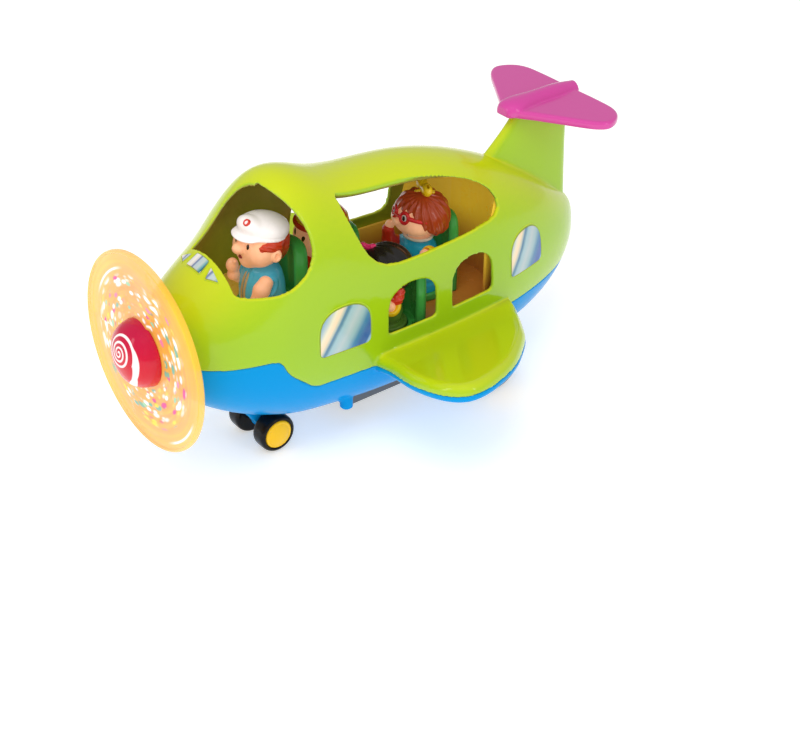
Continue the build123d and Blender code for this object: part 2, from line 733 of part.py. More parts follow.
def gear_profile(teeth, module, steps=5, backlash=0.10):
    """Involute spur gear outline, first tooth centred on +Y of the sketch."""
    rp = module * teeth / 2
    ra = rp + module
    rf = rp - 1.2 * module
    pa = math.radians(20)
    rb = rp * math.cos(pa)
    half = math.pi / (2 * teeth) - backlash / (2 * rp)
    inv = math.tan(pa) - pa
    start = max(rb, rf + 0.02)
    pts = []
    for k in range(teeth):
        mid = math.pi / 2 + 2 * math.pi * k / teeth
        flank = []
        for i in range(steps + 1):
            r = start + (ra - start) * i / steps
            al = math.acos(min(1.0, rb / r))
            th = half + inv - (math.tan(al) - al)
            flank.append((r, th))
        root = half + inv if start == rb else flank[0][1]
        root = min(root, math.pi / teeth * 0.98)
        pts.append((rf, mid - root))
        pts += [(r, mid - th) for r, th in flank]
        pts += [(r, mid + th) for r, th in reversed(flank)]
        pts.append((rf, mid + root))
    return pts


def gear_part(d, width, teeth, z, phase, hole):
    # phase turns the gear about its axis, in radians
    prof = gear_profile(teeth, GEAR_MODULE)
    out = []
    for r, a in prof:
        a += phase
        p = (r * math.cos(a), z + r * math.sin(a))
        if not out or math.hypot(p[0] - out[-1][0], p[1] - out[-1][1]) > 1e-4:
            out.append(p)
    out.reverse()
    with BuildPart() as g:
        with BuildSketch(yz.offset(sx(d))):
            with BuildLine():
                Polyline(*out, close=True)
            make_face()
            with Locations((0, z)):
                Circle(hole, mode=Mode.SUBTRACT)
        extrude(amount=width)
    return g.part


GEAR_CENTRES = GEAR_MODULE * (PROP_TEETH + PINION_TEETH) / 2 + 0.12
MOTOR_Z = PROP_Z - GEAR_CENTRES
# the wheel shows a tooth to the pinion, the pinion shows a gap to the wheel
save(gear_part(37.0, 4.0, PROP_TEETH, PROP_Z, math.pi, SHAFT_R + 0.02), "propeller_gear")
save(gear_part(37.6, 5.2, PINION_TEETH, MOTOR_Z, math.pi / PINION_TEETH, 1.0 + 0.02), "motor_pinion")
save(disc_x(43.2, 1.0, 43.2 - 31.8, z=MOTOR_Z), "motor_shaft")

with BuildPart() as gearbox:
    with BuildSketch(yz.offset(sx(44.0))):
        with Locations((0, 102.0)):
            RectangleRounded(38.0, 50.0, 4.0)
    extrude(amount=17.0)
    with BuildSketch(yz.offset(sx(42.2))):
        with Locations((0, 102.0)):
            RectangleRounded(35.0, 47.0, 2.5)
    extrude(amount=13.4, mode=Mode.SUBTRACT)
    with BuildSketch(yz.offset(sx(50.0))):
        with Locations((0, PROP_Z)):
            Circle(SHAFT_R + RUN_FIT)
    extrude(amount=40.0, mode=Mode.SUBTRACT)
    with BuildSketch(yz.offset(sx(50.0))):
        with Locations((0, MOTOR_Z)):
            Circle(3.2)
    extrude(amount=9.0, mode=Mode.SUBTRACT)
save(gearbox.part, "gearbox_housing")

with BuildPart() as motor:
    with BuildSketch(yz.offset(sx(69.0))):
        with Locations((0, MOTOR_Z)):
            Circle(10.0)
            Rectangle(30.0, 15.0, mode=Mode.INTERSECT)
    extrude(amount=24.9)
    with BuildSketch(yz.offset(sx(71.0))):
        with Locations((0, MOTOR_Z)):
            Circle(3.0)
    extrude(amount=2.0)
    with BuildSketch(yz.offset(sx(60.0))):
        with Locations((0, MOTOR_Z)):
            Circle(1.0 + RUN_FIT)
    extrude(amount=20.0, mode=Mode.SUBTRACT)
save(motor.part, "motor")

# ----------------------------------------------------------------------------
# Wheels and axles
# ----------------------------------------------------------------------------


def ring_y(d, z, y0, y1, ro, ri, round_o=0.0):
    with BuildPart() as r:
        with BuildSketch(Plane.XZ.offset(-y1)):
            with Locations((sx(d), z)):
                Circle(ro)
                if ri:
                    Circle(ri, mode=Mode.SUBTRACT)
        extrude(amount=y1 - y0)
        if round_o:
            outer_edges = r.edges().filter_by(GeomType.CIRCLE).sort_by(SortBy.RADIUS)[-2:]
            fillet(outer_edges, round_o)
    return r.part


def wheel_pair(prefix, d, r, y_in, y_out, hub_r, rnd, axle_r):
    with BuildPart() as tyres:
        for s in (1, -1):
            y0, y1 = (y_in, y_out) if s > 0 else (-y_out, -y_in)
            add(ring_y(d, r, y0, y1, r, hub_r, rnd))
    save(tyres.part, f"{prefix}_tyres")
    with BuildPart() as hubs:
        for s in (1, -1):
            y0, y1 = (y_in, y_out + 0.4) if s > 0 else (-y_out - 0.4, -y_in)
            add(ring_y(d, r, y0, y1, hub_r, 0, 0))
            c0, c1 = (y_in - 1.0, y_out - 2.0) if s > 0 else (-y_out + 2.0, -y_in + 1.0)
            add(ring_y(d, r, c0, c1, axle_r, 0, 0), mode=Mode.SUBTRACT)
    save(hubs.part, f"{prefix}_hub_caps")
    save(ring_y(d, r, -y_out + 2.0, y_out - 2.0, axle_r, 0, 0), f"{prefix}_axle")


wheel_pair("front", FRONT_AXLE_D, FRONT_R, 8.6, 21.6, 10.4, 2.6, AXLE_R)
wheel_pair("rear", REAR_AXLE_D, REAR_R, 41.6, 56.0, 19.0, 3.6, AXLE_R)

# ----------------------------------------------------------------------------
# Battery box, door, cells, contacts, circuit board, speaker, switch
# ----------------------------------------------------------------------------
bc = sx((BOX_D0 + BOX_D1) / 2)
BL = BOX_D1 - BOX_D0
with BuildPart() as battery_box:
    with BuildSketch(Plane.XY.offset(BOX_Z0)):
        with Locations((bc, 0)):
            RectangleRounded(BL, BOX_W, 3.0)
    extrude(amount=BOX_Z1 - BOX_Z0)
    with BuildSketch(Plane.XY.offset(BOX_Z0)):
        with Locations((bc, 0)):
            RectangleRounded(BL - 3.6, BOX_W - 3.6, 2.0)
    extrude(amount=BOX_Z1 - BOX_Z0 - 2.0, mode=Mode.SUBTRACT)
    with BuildSketch(Plane.XY.offset(BOX_Z0 + 2.4)):
        with Locations((sx(BOX_D1 - 6.0), 0)):
            Circle(3.6)
    extrude(amount=BOX_Z1 - BOX_Z0 - 3.0)
    with BuildSketch(Plane.XY.offset(BOX_Z0)):
        with Locations((sx(BOX_D1 - 6.0), 0)):
            Circle(1.25)
    extrude(amount=14.0, mode=Mode.SUBTRACT)
    # ledge ribs between the cells
    for y in (-8.0, 8.0):
        with BuildSketch(Plane.XY.offset(BOX_Z1 - 6.0)):
            with Locations((sx(173.0), y)):
                Rectangle(50.0, 1.0)
        extrude(amount=5.0)
save(battery_box.part, "battery_box")

with BuildPart() as battery_door:
    with BuildSketch(Plane.XY.offset(BOX_Z0)):
        with Locations((bc, 0)):
            RectangleRounded(BL - 4.0, BOX_W - 4.0, 1.8)
    extrude(amount=2.2)
    # finger ribs at the front end
    for k in range(4):
        with BuildSketch(Plane.XY.offset(BOX_Z0)):
            with Locations((sx(150.0 + 3.2 * k), 0)):
                SlotOverall(18.0, 1.4, rotation=90)
        extrude(amount=0.7, mode=Mode.SUBTRACT)
    with BuildSketch(Plane.XY.offset(BOX_Z0)):
        with Locations((sx(BOX_D1 - 6.0), 0)):
            Circle(1.7)
    extrude(amount=2.2, mode=Mode.SUBTRACT)
    with BuildSketch(Plane.XY.offset(BOX_Z0)):
        with Locations((sx(BOX_D1 - 6.0), 0)):
            Circle(3.0)
    extrude(amount=1.3, mode=Mode.SUBTRACT)
save(battery_door.part, "battery_door")

with BuildPart() as door_screw:
    with BuildSketch(Plane.XY.offset(BOX_Z0 + 0.1)):
        with Locations((sx(BOX_D1 - 6.0), 0)):
            Circle(2.7)
    extrude(amount=1.2)
    with BuildSketch(Plane.XY.offset(BOX_Z0 + 1.3)):
        with Locations((sx(BOX_D1 - 6.0), 0)):
            Circle(1.2)
    extrude(amount=10.0)
    with BuildSketch(Plane.XY.offset(BOX_Z0 + 0.1)):
        with Locations((sx(BOX_D1 - 6.0), 0)):
            Rectangle(3.2, 0.7)
            Rectangle(0.7, 3.2)
    extrude(amount=0.7, mode=Mode.SUBTRACT)
save(door_screw.part, "door_screw")

CELL_R, CELL_LEN, CELL_Z = 7.1, 48.5, 28.0
with BuildPart() as cells:
    for y in (-16.0, 0.0, 16.0):
        add(disc_x(197.5, CELL_R, CELL_LEN, y=y, z=CELL_Z))
        s = 1 if y == 0 else 0
        add(disc_x(148.9 if s else 198.7, 2.6, 1.2, y=y, z=CELL_Z))
save(cells.part, "battery_cells")

with BuildPart() as contacts:
    for y in (-16.0, 0.0, 16.0):
        add(slab(199.0, 199.5, y - 5, y + 5, CELL_Z - 5, CELL_Z + 5))
        add(slab(147.0, 147.5, y - 5, y + 5, CELL_Z - 5, CELL_Z + 5))
save(contacts.part, "battery_contacts")

with BuildPart() as circuit_board:
    add(slab(152.0, 196.0, -20, 20, 45.0, 46.6))
    add(slab(165.0, 175.0, -5, 5, 46.6, 48.4))
    add(slab(182.0, 188.0, 6, 14, 46.6, 51.0))
    for y in (-16.0, 16.0):
        add(slab(154.0, 158.0, y - 2, y + 2, BOX_Z1, 45.0))
        add(slab(190.0, 194.0, y - 2, y + 2, BOX_Z1, 45.0))
save(circuit_board.part, "circuit_board")

with BuildPart() as speaker:
    with BuildSketch(Plane.XY.offset(32.0)):
        with Locations((sx(124.0), 0)):
            Circle(14.0)
    extrude(amount=2.4)
    with BuildSketch(Plane.XY.offset(34.4)):
        with Locations((sx(124.0), 0)):
            Circle(8.0)
    extrude(amount=4.6)
save(speaker.part, "speaker")

with BuildPart() as switch_body:
    add(slab(223.0, 239.0, -5, 5, 28.0, 35.0))
save(switch_body.part, "power_switch")

with BuildPart() as switch_knob:
    add(slab(227.4, 231.0, -2.0, 2.0, 17.6, 26.4))
    add(slab(225.0, 233.0, -4.0, 4.0, 26.4, 27.6))
save(switch_knob.part, "power_switch_knob")

# ----------------------------------------------------------------------------
# Window stickers on both sides and the painted-pane stickers on the nose
# ----------------------------------------------------------------------------
with BuildPart() as window_stickers:
    for d0, d1, z0, z1, is_open in WINDOWS:
        if not is_open:
            add(prism_xz(arch_points(d0, d1, z0, z1), 20.0, 90.0))
            add(prism_xz(arch_points(d0, d1, z0, z1), -90.0, -20.0))
    add(skin_out, mode=Mode.INTERSECT)
    add(outer, mode=Mode.SUBTRACT)
save(window_stickers.part, "window_stickers")

PANES = [
    [(47.6, -6.8), (47.6, 6.8), (39.6, 7.4), (39.6, -7.4)],
    [(46.0, 11.4), (44.6, 21.0), (40.4, 13.6)],
    [(46.0, -11.4), (44.6, -21.0), (40.4, -13.6)],
]
with BuildPart() as nose_stickers:
    for pane in PANES:
        with BuildSketch(Plane.XY.offset(120.0)):
            with BuildLine():
                Polyline(*[(sx(d), y) for d, y in pane], close=True)
            make_face()
        extrude(amount=60.0)
    add(skin_out, mode=Mode.INTERSECT)
    add(outer, mode=Mode.SUBTRACT)
save(nose_stickers.part, "nose_stickers")
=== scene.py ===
import json
import math

import bpy
import numpy as np
from mathutils import Matrix, Vector

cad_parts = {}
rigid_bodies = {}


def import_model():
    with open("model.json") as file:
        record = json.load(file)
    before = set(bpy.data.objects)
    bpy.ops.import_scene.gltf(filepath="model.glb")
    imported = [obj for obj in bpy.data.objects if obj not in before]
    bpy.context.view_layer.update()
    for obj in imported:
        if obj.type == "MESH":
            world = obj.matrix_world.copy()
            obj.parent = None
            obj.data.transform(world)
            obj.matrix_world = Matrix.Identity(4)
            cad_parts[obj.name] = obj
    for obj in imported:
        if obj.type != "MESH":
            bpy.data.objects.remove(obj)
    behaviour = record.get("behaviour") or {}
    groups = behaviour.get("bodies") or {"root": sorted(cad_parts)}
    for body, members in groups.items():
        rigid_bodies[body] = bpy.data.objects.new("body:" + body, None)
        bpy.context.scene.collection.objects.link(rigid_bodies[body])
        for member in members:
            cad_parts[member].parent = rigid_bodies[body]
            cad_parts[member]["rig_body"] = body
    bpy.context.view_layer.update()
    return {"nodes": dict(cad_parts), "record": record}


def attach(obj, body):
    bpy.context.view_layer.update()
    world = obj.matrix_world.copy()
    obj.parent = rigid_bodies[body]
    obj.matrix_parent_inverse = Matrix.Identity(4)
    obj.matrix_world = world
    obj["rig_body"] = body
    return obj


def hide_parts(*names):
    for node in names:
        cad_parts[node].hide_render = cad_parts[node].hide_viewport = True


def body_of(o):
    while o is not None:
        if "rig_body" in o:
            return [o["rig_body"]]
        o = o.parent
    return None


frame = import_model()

MM = 0.001


# ---------------------------------------------------------------- mesh helpers
def new_mesh(name, verts, faces, smooth=True):
    me = bpy.data.meshes.new(name)
    verts = np.asarray(verts, np.float32)
    me.from_pydata([], [], [])
    if isinstance(faces, np.ndarray):
        n, k = faces.shape
        me.vertices.add(len(verts))
        me.vertices.foreach_set("co", verts.ravel())
        me.loops.add(n * k)
        me.loops.foreach_set("vertex_index", faces.astype(np.int32).ravel())
        me.polygons.add(n)
        me.polygons.foreach_set("loop_start", np.arange(0, n * k, k, dtype=np.int32))
        me.polygons.foreach_set("loop_total", np.full(n, k, np.int32))
    else:
        me.from_pydata([tuple(map(float, v)) for v in verts], [], faces)
    me.update(calc_edges=True)
    me.validate()
    if smooth:
        me.polygons.foreach_set("use_smooth", np.ones(len(me.polygons), bool))
    ob = bpy.data.objects.new(name, me)
    bpy.context.scene.collection.objects.link(ob)
    return ob


def coords(me):
    co = np.zeros(len(me.vertices) * 3, np.float32)
    me.vertices.foreach_get("co", co)
    return co.reshape(-1, 3).astype(float)


def set_coords(me, co):
    me.vertices.foreach_set("co", co.astype(np.float32).ravel())
    me.update()


def edges_of(me):
    e = np.zeros(len(me.edges) * 2, np.int32)
    me.edges.foreach_get("vertices", e)
    return e.reshape(-1, 2)


def relax(co, e, steps, lam=0.5, mu=-0.52, weight=None):
    """Smooths a mesh in place; with mu it keeps its volume, with mu 0 it rounds freely."""
    n = len(co)
    deg = np.bincount(e.ravel(), minlength=n).astype(float)
    deg[deg == 0] = 1
    w = 1.0 if weight is None else weight[:, None]
    for _ in range(steps):
        for f in ((lam, mu) if mu else (lam,)):
            acc = np.empty_like(co)
            for k in range(3):
                acc[:, k] = (np.bincount(e[:, 0], co[e[:, 1], k], n)
                             + np.bincount(e[:, 1], co[e[:, 0], k], n)) / deg
            co = co + f * w * (acc - co)
    return co


def evaluated(ob):
    dg = bpy.context.evaluated_depsgraph_get()
    return bpy.data.meshes.new_from_object(ob.evaluated_get(dg))


def remeshed(node, name, voxel):
    """A voxel copy of a CAD node, as a new object."""
    src = frame["nodes"][node]
    me = src.data.copy()
    me.materials.clear()
    tmp = bpy.data.objects.new(name + "_tmp", me)
    bpy.context.scene.collection.objects.link(tmp)
    wd = tmp.modifiers.new("weld", "WELD")
    wd.merge_threshold = 1e-5
    rm = tmp.modifiers.new("remesh", "REMESH")
    rm.mode = "VOXEL"
    rm.voxel_size = voxel
    out = evaluated(tmp)
    bpy.data.objects.remove(tmp)
    out.name = name
    out.polygons.foreach_set("use_smooth", np.ones(len(out.polygons), bool))
    ob = bpy.data.objects.new(name, out)
    bpy.context.scene.collection.objects.link(ob)
    return ob


def smoothstep(x, a, b):
    t = np.clip((x - a) / (b - a), 0, 1)
    return t * t * (3 - 2 * t)


# ---------------------------------------------------------------- field modelling
def surface_nets(F, lo, h):
    """Vertices and quads of the zero surface of a sampled field, negative inside."""
    S = F < 0
    nx, ny, nz = F.shape
    offs = [(i, j, k) for i in (0, 1) for j in (0, 1) for k in (0, 1)]
    cnt = np.zeros((nx - 1, ny - 1, nz - 1), np.int8)
    for i, j, k in offs:
        cnt += S[i:nx - 1 + i, j:ny - 1 + j, k:nz - 1 + k]
    mask = (cnt > 0) & (cnt < 8)
    idx = np.argwhere(mask)
    vid = -np.ones(mask.shape, np.int64)
    vid[mask] = np.arange(len(idx))
    acc = np.zeros((len(idx), 3))
    num = np.zeros(len(idx))
    for a in offs:
        for ax in range(3):
            if a[ax]:
                continue
            b = list(a)
            b[ax] = 1
            v0 = F[idx[:, 0] + a[0], idx[:, 1] + a[1], idx[:, 2] + a[2]]
            v1 = F[idx[:, 0] + b[0], idx[:, 1] + b[1], idx[:, 2] + b[2]]
            x = (v0 < 0) != (v1 < 0)
            t = np.where(x, v0 / np.where(x, v0 - v1, 1), 0)
            p = np.array(a, float)[None, :].repeat(len(idx), 0)
            p[:, ax] += t
            acc += p * x[:, None]
            num += x
    V = (idx + acc / num[:, None]) * h + lo
    Q = []
    for ax in range(3):
        s0 = [slice(None)] * 3
        s1 = [slice(None)] * 3
        s0[ax] = slice(0, -1)
        s1[ax] = slice(1, None)
        A, B = S[tuple(s0)], S[tuple(s1)]
        e = np.argwhere(A != B)
        u, v = [(1, 2), (2, 0), (0, 1)][ax]
        ok = (e[:, u] > 0) & (e[:, v] > 0) & (e[:, u] < F.shape[u] - 1) & (e[:, v] < F.shape[v] - 1)
        e = e[ok]

        def cell(du, dv):
            c = e.copy()
            c[:, u] -= du
            c[:, v] -= dv
            return vid[c[:, 0], c[:, 1], c[:, 2]]
        q = np.stack([cell(1, 1), cell(0, 1), cell(0, 0), cell(1, 0)], 1)
        flip = ~A[e[:, 0], e[:, 1], e[:, 2]]
        q[flip] = q[flip][:, ::-1]
        Q.append(q)
    return V, np.concatenate(Q)


class Field:
    """Sample points in mm and the moulded-solid field on them."""

    def __init__(self, lo, hi, h):
        self.lo, self.h = np.array(lo, float), h
        n = [int(math.ceil((b - a) / h)) + 1 for a, b in zip(lo, hi)]
        g = [lo[i] + h * np.arange(n[i]) for i in range(3)]
        X, Y, Z = np.meshgrid(*g, indexing="ij")
        self.P = np.stack([X, Y, Z], -1).astype(np.float32)

    def mesh(self, F, name, smooth=2):
        V, Q = surface_nets(F, self.lo, self.h)
        e = np.concatenate([Q[:, [0, 1]], Q[:, [1, 2]], Q[:, [2, 3]], Q[:, [3, 0]]])
        e = np.unique(np.sort(e, 1), axis=0)
        V = relax(V, e, smooth)
        return V, Q


def ell(P, c, r, R=None):
    q = P - np.array(c, np.float32)
    if R is not None:
        q = q @ np.array(R, np.float32)
    r = np.array(r, np.float32)
    k0 = np.sqrt(((q / r) ** 2).sum(-1))
    k1 = np.sqrt(((q / (r * r)) ** 2).sum(-1)) + 1e-6
    return k0 * (k0 - 1) / k1


def cap(P, a, b, ra, rb=None):
    rb = ra if rb is None else rb
    a, b = np.array(a, np.float32), np.array(b, np.float32)
    pa, ba = P - a, b - a
    t = np.clip((pa @ ba) / float(ba @ ba), 0, 1)
    d = np.sqrt(((pa - t[..., None] * ba) ** 2).sum(-1))
    return d - (ra + (rb - ra) * t)


def rbox(P, c, half, r, R=None):
    q = P - np.array(c, np.float32)
    if R is not None:
        q = q @ np.array(R, np.float32)
    q = np.abs(q) - (np.array(half, np.float32) - r)
    return np.sqrt((np.maximum(q, 0) ** 2).sum(-1)) + np.minimum(q.max(-1), 0) - r


def rcyl(P, c, R, hz, r):
    """Upright cylinder with rounded rims."""
    q = P - np.array(c, np.float32)
    d = np.stack([np.hypot(q[..., 0], q[..., 1]) - (R - r), np.abs(q[..., 2]) - (hz - r)], -1)
    return np.sqrt((np.maximum(d, 0) ** 2).sum(-1)) + np.minimum(d.max(-1), 0) - r


def smin(a, b, k):
    h = np.clip(0.5 + 0.5 * (b - a) / k, 0, 1)
    return b * (1 - h) + a * h - k * h * (1 - h)


def smax(a, b, k):
    return -smin(-a, -b, k)


def rot(ax, deg):
    """Rows are the local axes, for use as P @ R."""
    return np.array(Matrix.Rotation(math.radians(deg), 3, ax))


def lathe(name, prof, centre, axis, seg=96, smooth=True):
    """Turned solid: prof is (along, radius) in mm, closed on the axis at both ends."""
    a = np.array(axis, float)
    u = np.array([0, 0, 1.0]) if abs(a[2]) < 0.5 else np.array([1.0, 0, 0])
    v = np.cross(a, u)
    th = np.arange(seg) * 2 * math.pi / seg
    V, faces = [], []
    for s, r in prof:
        for t in th:
            V.append(np.array(centre) + a * s + (u * math.cos(t) + v * math.sin(t)) * r)
    n = len(prof)
    for i in range(n - 1):
        for j in range(seg):
            k = (j + 1) % seg
            faces.append((i * seg + j, i * seg + k, (i + 1) * seg + k, (i + 1) * seg + j))
    faces.append(tuple(range(seg))[::-1])
    faces.append(tuple((n - 1) * seg + j for j in range(seg)))
    return new_mesh(name, np.array(V) * MM, faces, smooth)


def rounded_profile(pts, step=0.35):
    """Dense Catmull-Rom samples through profile points."""
    P = np.array(pts, float)
    out = []
    for i in range(len(P) - 1):
        p0, p1, p2, p3 = P[max(i - 1, 0)], P[i], P[i + 1], P[min(i + 2, len(P) - 1)]
        m = max(2, int(np.linalg.norm(p2 - p1) / step))
        for k in range(m):
            t = k / m
            out.append(0.5 * ((2 * p1) + (-p0 + p2) * t + (2 * p0 - 5 * p1 + 4 * p2 - p3) * t * t
                              + (-p0 + 3 * p1 - 3 * p2 + p3) * t ** 3))
    out.append(P[-1])
    out = np.array(out)
    out[:, 1] = np.maximum(out[:, 1], 0.0)
    return [tuple(p) for p in out]


# ---------------------------------------------------------------- materials
def lin(c):
    return tuple((x / 255 / 12.92) if x / 255 <= 0.04045 else ((x / 255 + 0.055) / 1.055) ** 2.4 for x in c[:3]) + (1.0,)


def nodes_of(mat):
    mat.use_nodes = True
    nt = mat.node_tree
    for n in list(nt.nodes):
        nt.nodes.remove(n)
    out = nt.nodes.new("ShaderNodeOutputMaterial")
    bs = nt.nodes.new("ShaderNodeBsdfPrincipled")
    nt.links.new(bs.outputs[0], out.inputs[0])
    return nt, bs


def ramp(nt, fac, stops, interp="LINEAR"):
    r = nt.nodes.new("ShaderNodeValToRGB")
    r.color_ramp.interpolation = interp
    el = r.color_ramp.elements
    while len(el) > 1:
        el.remove(el[-1])
    el[0].position, el[0].color = stops[0]
    for p, c in stops[1:]:
        e = el.new(p)
        e.color = c
    nt.links.new(fac, r.inputs[0])
    return r.outputs[0]


def mixc(nt, fac, a, b, mode="MIX"):
    m = nt.nodes.new("ShaderNodeMix")
    m.data_type = "RGBA"
    m.blend_type = mode
    for sock, val in ((m.inputs[0], fac), (m.inputs[6], a), (m.inputs[7], b)):
        if isinstance(val, bpy.types.NodeSocket):
            nt.links.new(val, sock)
        else:
            sock.default_value = val
    return m.outputs[2]


def math_node(nt, op, a, b=None, clamp=False):
    m = nt.nodes.new("ShaderNodeMath")
    m.operation = op
    m.use_clamp = clamp
    for sock, val in ((m.inputs[0], a), (m.inputs[1], b)):
        if val is None:
            continue
        if isinstance(val, bpy.types.NodeSocket):
            nt.links.new(val, sock)
        else:
            sock.default_value = val
    return m.outputs[0]


def noise(nt, vec, scale, detail=3.0, rough=0.5, dist=0.0):
    n = nt.nodes.new("ShaderNodeTexNoise")
    n.inputs["Scale"].default_value = scale
    n.inputs["Detail"].default_value = detail
    n.inputs["Roughness"].default_value = rough
    n.inputs["Distortion"].default_value = dist
    if vec is not None:
        nt.links.new(vec, n.inputs["Vector"])
    return n.outputs["Fac"]


def obj_coord(nt):
    t = nt.nodes.new("ShaderNodeTexCoord")
    return t.outputs["Object"]


def plastic(name, rgb, dark=None, rough=0.16, coat=0.35, sss=0.0, edge=0.12, bump=0.05, ior=1.5, grain=900, spec=0.32, glow=0.0):
    """Injection-moulded plastic: flow mottle, fine bump, slightly paler sharp edges as a painted highlight, uneven
    gloss, and an optional glow that is painted light.
    """
    mat = bpy.data.materials.new(name)
    nt, bs = nodes_of(mat)
    vec = obj_coord(nt)
    base = lin(rgb)
    dk = lin(dark) if dark else tuple(c * 0.82 for c in base[:3]) + (1,)
    flow = noise(nt, vec, 9.0, 4.0, 0.55, 0.6)
    f = ramp(nt, flow, [(0.30, (0, 0, 0, 1)), (0.72, (1, 1, 1, 1))])
    col = mixc(nt, f, tuple(0.93 * c + 0.07 * d for c, d in zip(base[:3], dk[:3])) + (1,), base)
    speck = noise(nt, vec, grain, 2.0, 0.6)
    sp = ramp(nt, speck, [(0.35, (0, 0, 0, 1)), (0.75, (1, 1, 1, 1))])
    col = mixc(nt, math_node(nt, "MULTIPLY", sp, 0.05), col, dk)
    # painted highlight: sharp edges (high pointiness) are mixed towards a paler colour by the edge amount, as if
    # catching light
    geo = nt.nodes.new("ShaderNodeNewGeometry")
    pt = ramp(nt, geo.outputs["Pointiness"], [(0.50, (0, 0, 0, 1)), (0.62, (1, 1, 1, 1))])
    edge_highlight = tuple(min(1, 0.6 * c + 0.4) for c in base[:3]) + (1,)
    col = mixc(nt, math_node(nt, "MULTIPLY", pt, edge), col, edge_highlight)
    nt.links.new(col, bs.inputs["Base Color"])
    rn = noise(nt, vec, 26.0, 5.0, 0.6)
    r = nt.nodes.new("ShaderNodeMapRange")
    r.inputs["From Min"].default_value = 0.3
    r.inputs["From Max"].default_value = 0.7
    r.inputs["To Min"].default_value = max(0.03, rough - 0.05)
    r.inputs["To Max"].default_value = rough + 0.07
    nt.links.new(rn, r.inputs["Value"])
    nt.links.new(r.outputs[0], bs.inputs["Roughness"])
    bs.inputs["IOR"].default_value = ior
    # painted light: glow makes the surface emit its own colour, lifting it though it is no lamp
    if glow:
        nt.links.new(col, bs.inputs["Emission Color"])
        bs.inputs["Emission Strength"].default_value = glow
    bs.inputs["Specular IOR Level"].default_value = spec
    bs.inputs["Coat Weight"].default_value = coat
    bs.inputs["Coat Roughness"].default_value = 0.06
    if sss:
        bs.inputs["Subsurface Weight"].default_value = sss
        bs.inputs["Subsurface Radius"].default_value = (0.004, 0.003, 0.0015)
        bs.inputs["Subsurface Scale"].default_value = 0.6
    b = nt.nodes.new("ShaderNodeBump")
    b.inputs["Strength"].default_value = bump
    b.inputs["Distance"].default_value = 0.0006
    h = math_node(nt, "ADD", math_node(nt, "MULTIPLY", noise(nt, vec, 60.0, 3.0), 1.0),
                  math_node(nt, "MULTIPLY", speck, 0.25))
    nt.links.new(h, b.inputs["Height"])
    nt.links.new(b.outputs[0], bs.inputs["Normal"])
    return mat


def metal(name, rgb, rough=0.28, scale=(400, 6, 6)):
    mat = bpy.data.materials.new(name)
    nt, bs = nodes_of(mat)
    vec = obj_coord(nt)
    mp = nt.nodes.new("ShaderNodeMapping")
    mp.inputs["Scale"].default_value = scale
    nt.links.new(vec, mp.inputs["Vector"])
    n = noise(nt, mp.outputs[0], 5.0, 4.0)
    base = lin(rgb)
    nt.links.new(mixc(nt, n, tuple(c * 0.8 for c in base[:3]) + (1,), base), bs.inputs["Base Color"])
    bs.inputs["Metallic"].default_value = 1.0
    r = math_node(nt, "ADD", math_node(nt, "MULTIPLY", n, 0.2), rough - 0.1)
    nt.links.new(r, bs.inputs["Roughness"])
    return mat


def moulded_green():
    """Lime plastic with painted light and shade: yellower on upward faces as if lit from above, greener down the sides,
    and a dull olive painted shade on the inside faces of the hollow shell.
    """
    mat = plastic("green_plastic", (157, 198, 20), dark=(116, 168, 16), rough=0.15, coat=0.34, spec=0.26, bump=0.03)
    nt = mat.node_tree
    bs = [n for n in nt.nodes if n.type == "BSDF_PRINCIPLED"][0]
    link = bs.inputs["Base Color"].links[0]
    col = link.from_socket
    nt.links.remove(link)
    tc = nt.nodes.new("ShaderNodeTexCoord")
    pos, nrm = nt.nodes.new("ShaderNodeSeparateXYZ"), nt.nodes.new("ShaderNodeSeparateXYZ")
    nt.links.new(tc.outputs["Object"], pos.inputs[0])
    nt.links.new(tc.outputs["Normal"], nrm.inputs[0])
    # painted light: upward-facing faces are mixed towards yellow, less so out on the wings
    up = ramp(nt, nrm.outputs[2], [(0.14, (0, 0, 0, 1)), (0.96, (1, 1, 1, 1))], "EASE")
    ay = math_node(nt, "ABSOLUTE", pos.outputs[1])
    wing = ramp(nt, math_node(nt, "MULTIPLY", ay, 5.0), [(0.28, (1, 1, 1, 1)), (0.40, (0.62, 0.62, 0.62, 1))])
    up = math_node(nt, "MULTIPLY", up, wing)
    col = mixc(nt, up, col, lin((202, 216, 18)))
    # broad, faint yellow drift over the whole moulding
    drift = ramp(nt, noise(nt, tc.outputs["Object"], 5.0, 2.0, 0.5), [(0.42, (0, 0, 0, 1)), (0.66, (1, 1, 1, 1))])
    col = mixc(nt, math_node(nt, "MULTIPLY", drift, 0.16), col, lin((206, 206, 20)))
    # painted shade: inside faces, which look back towards the middle of the cabin, are mixed towards dull olive
    inward = math_node(nt, "ADD", math_node(nt, "MULTIPLY", pos.outputs[1], nrm.outputs[1]),
                       math_node(nt, "MULTIPLY", math_node(nt, "SUBTRACT", pos.outputs[2], 0.100), nrm.outputs[2]))
    inside_shade = ramp(nt, math_node(nt, "ADD", math_node(nt, "MULTIPLY", inward, -40.0), 0.0), [(0.05, (0, 0, 0, 1)), (0.45, (1, 1, 1, 1))])
    body = ramp(nt, math_node(nt, "MULTIPLY", ay, 10.0), [(0.44, (1, 1, 1, 1)), (0.60, (0, 0, 0, 1))])
    inside_shade = math_node(nt, "MULTIPLY", inside_shade, body)
    col = mixc(nt, math_node(nt, "MULTIPLY", inside_shade, 0.8), col, lin((160, 150, 74)))
    nt.links.new(col, bs.inputs["Base Color"])
    return mat


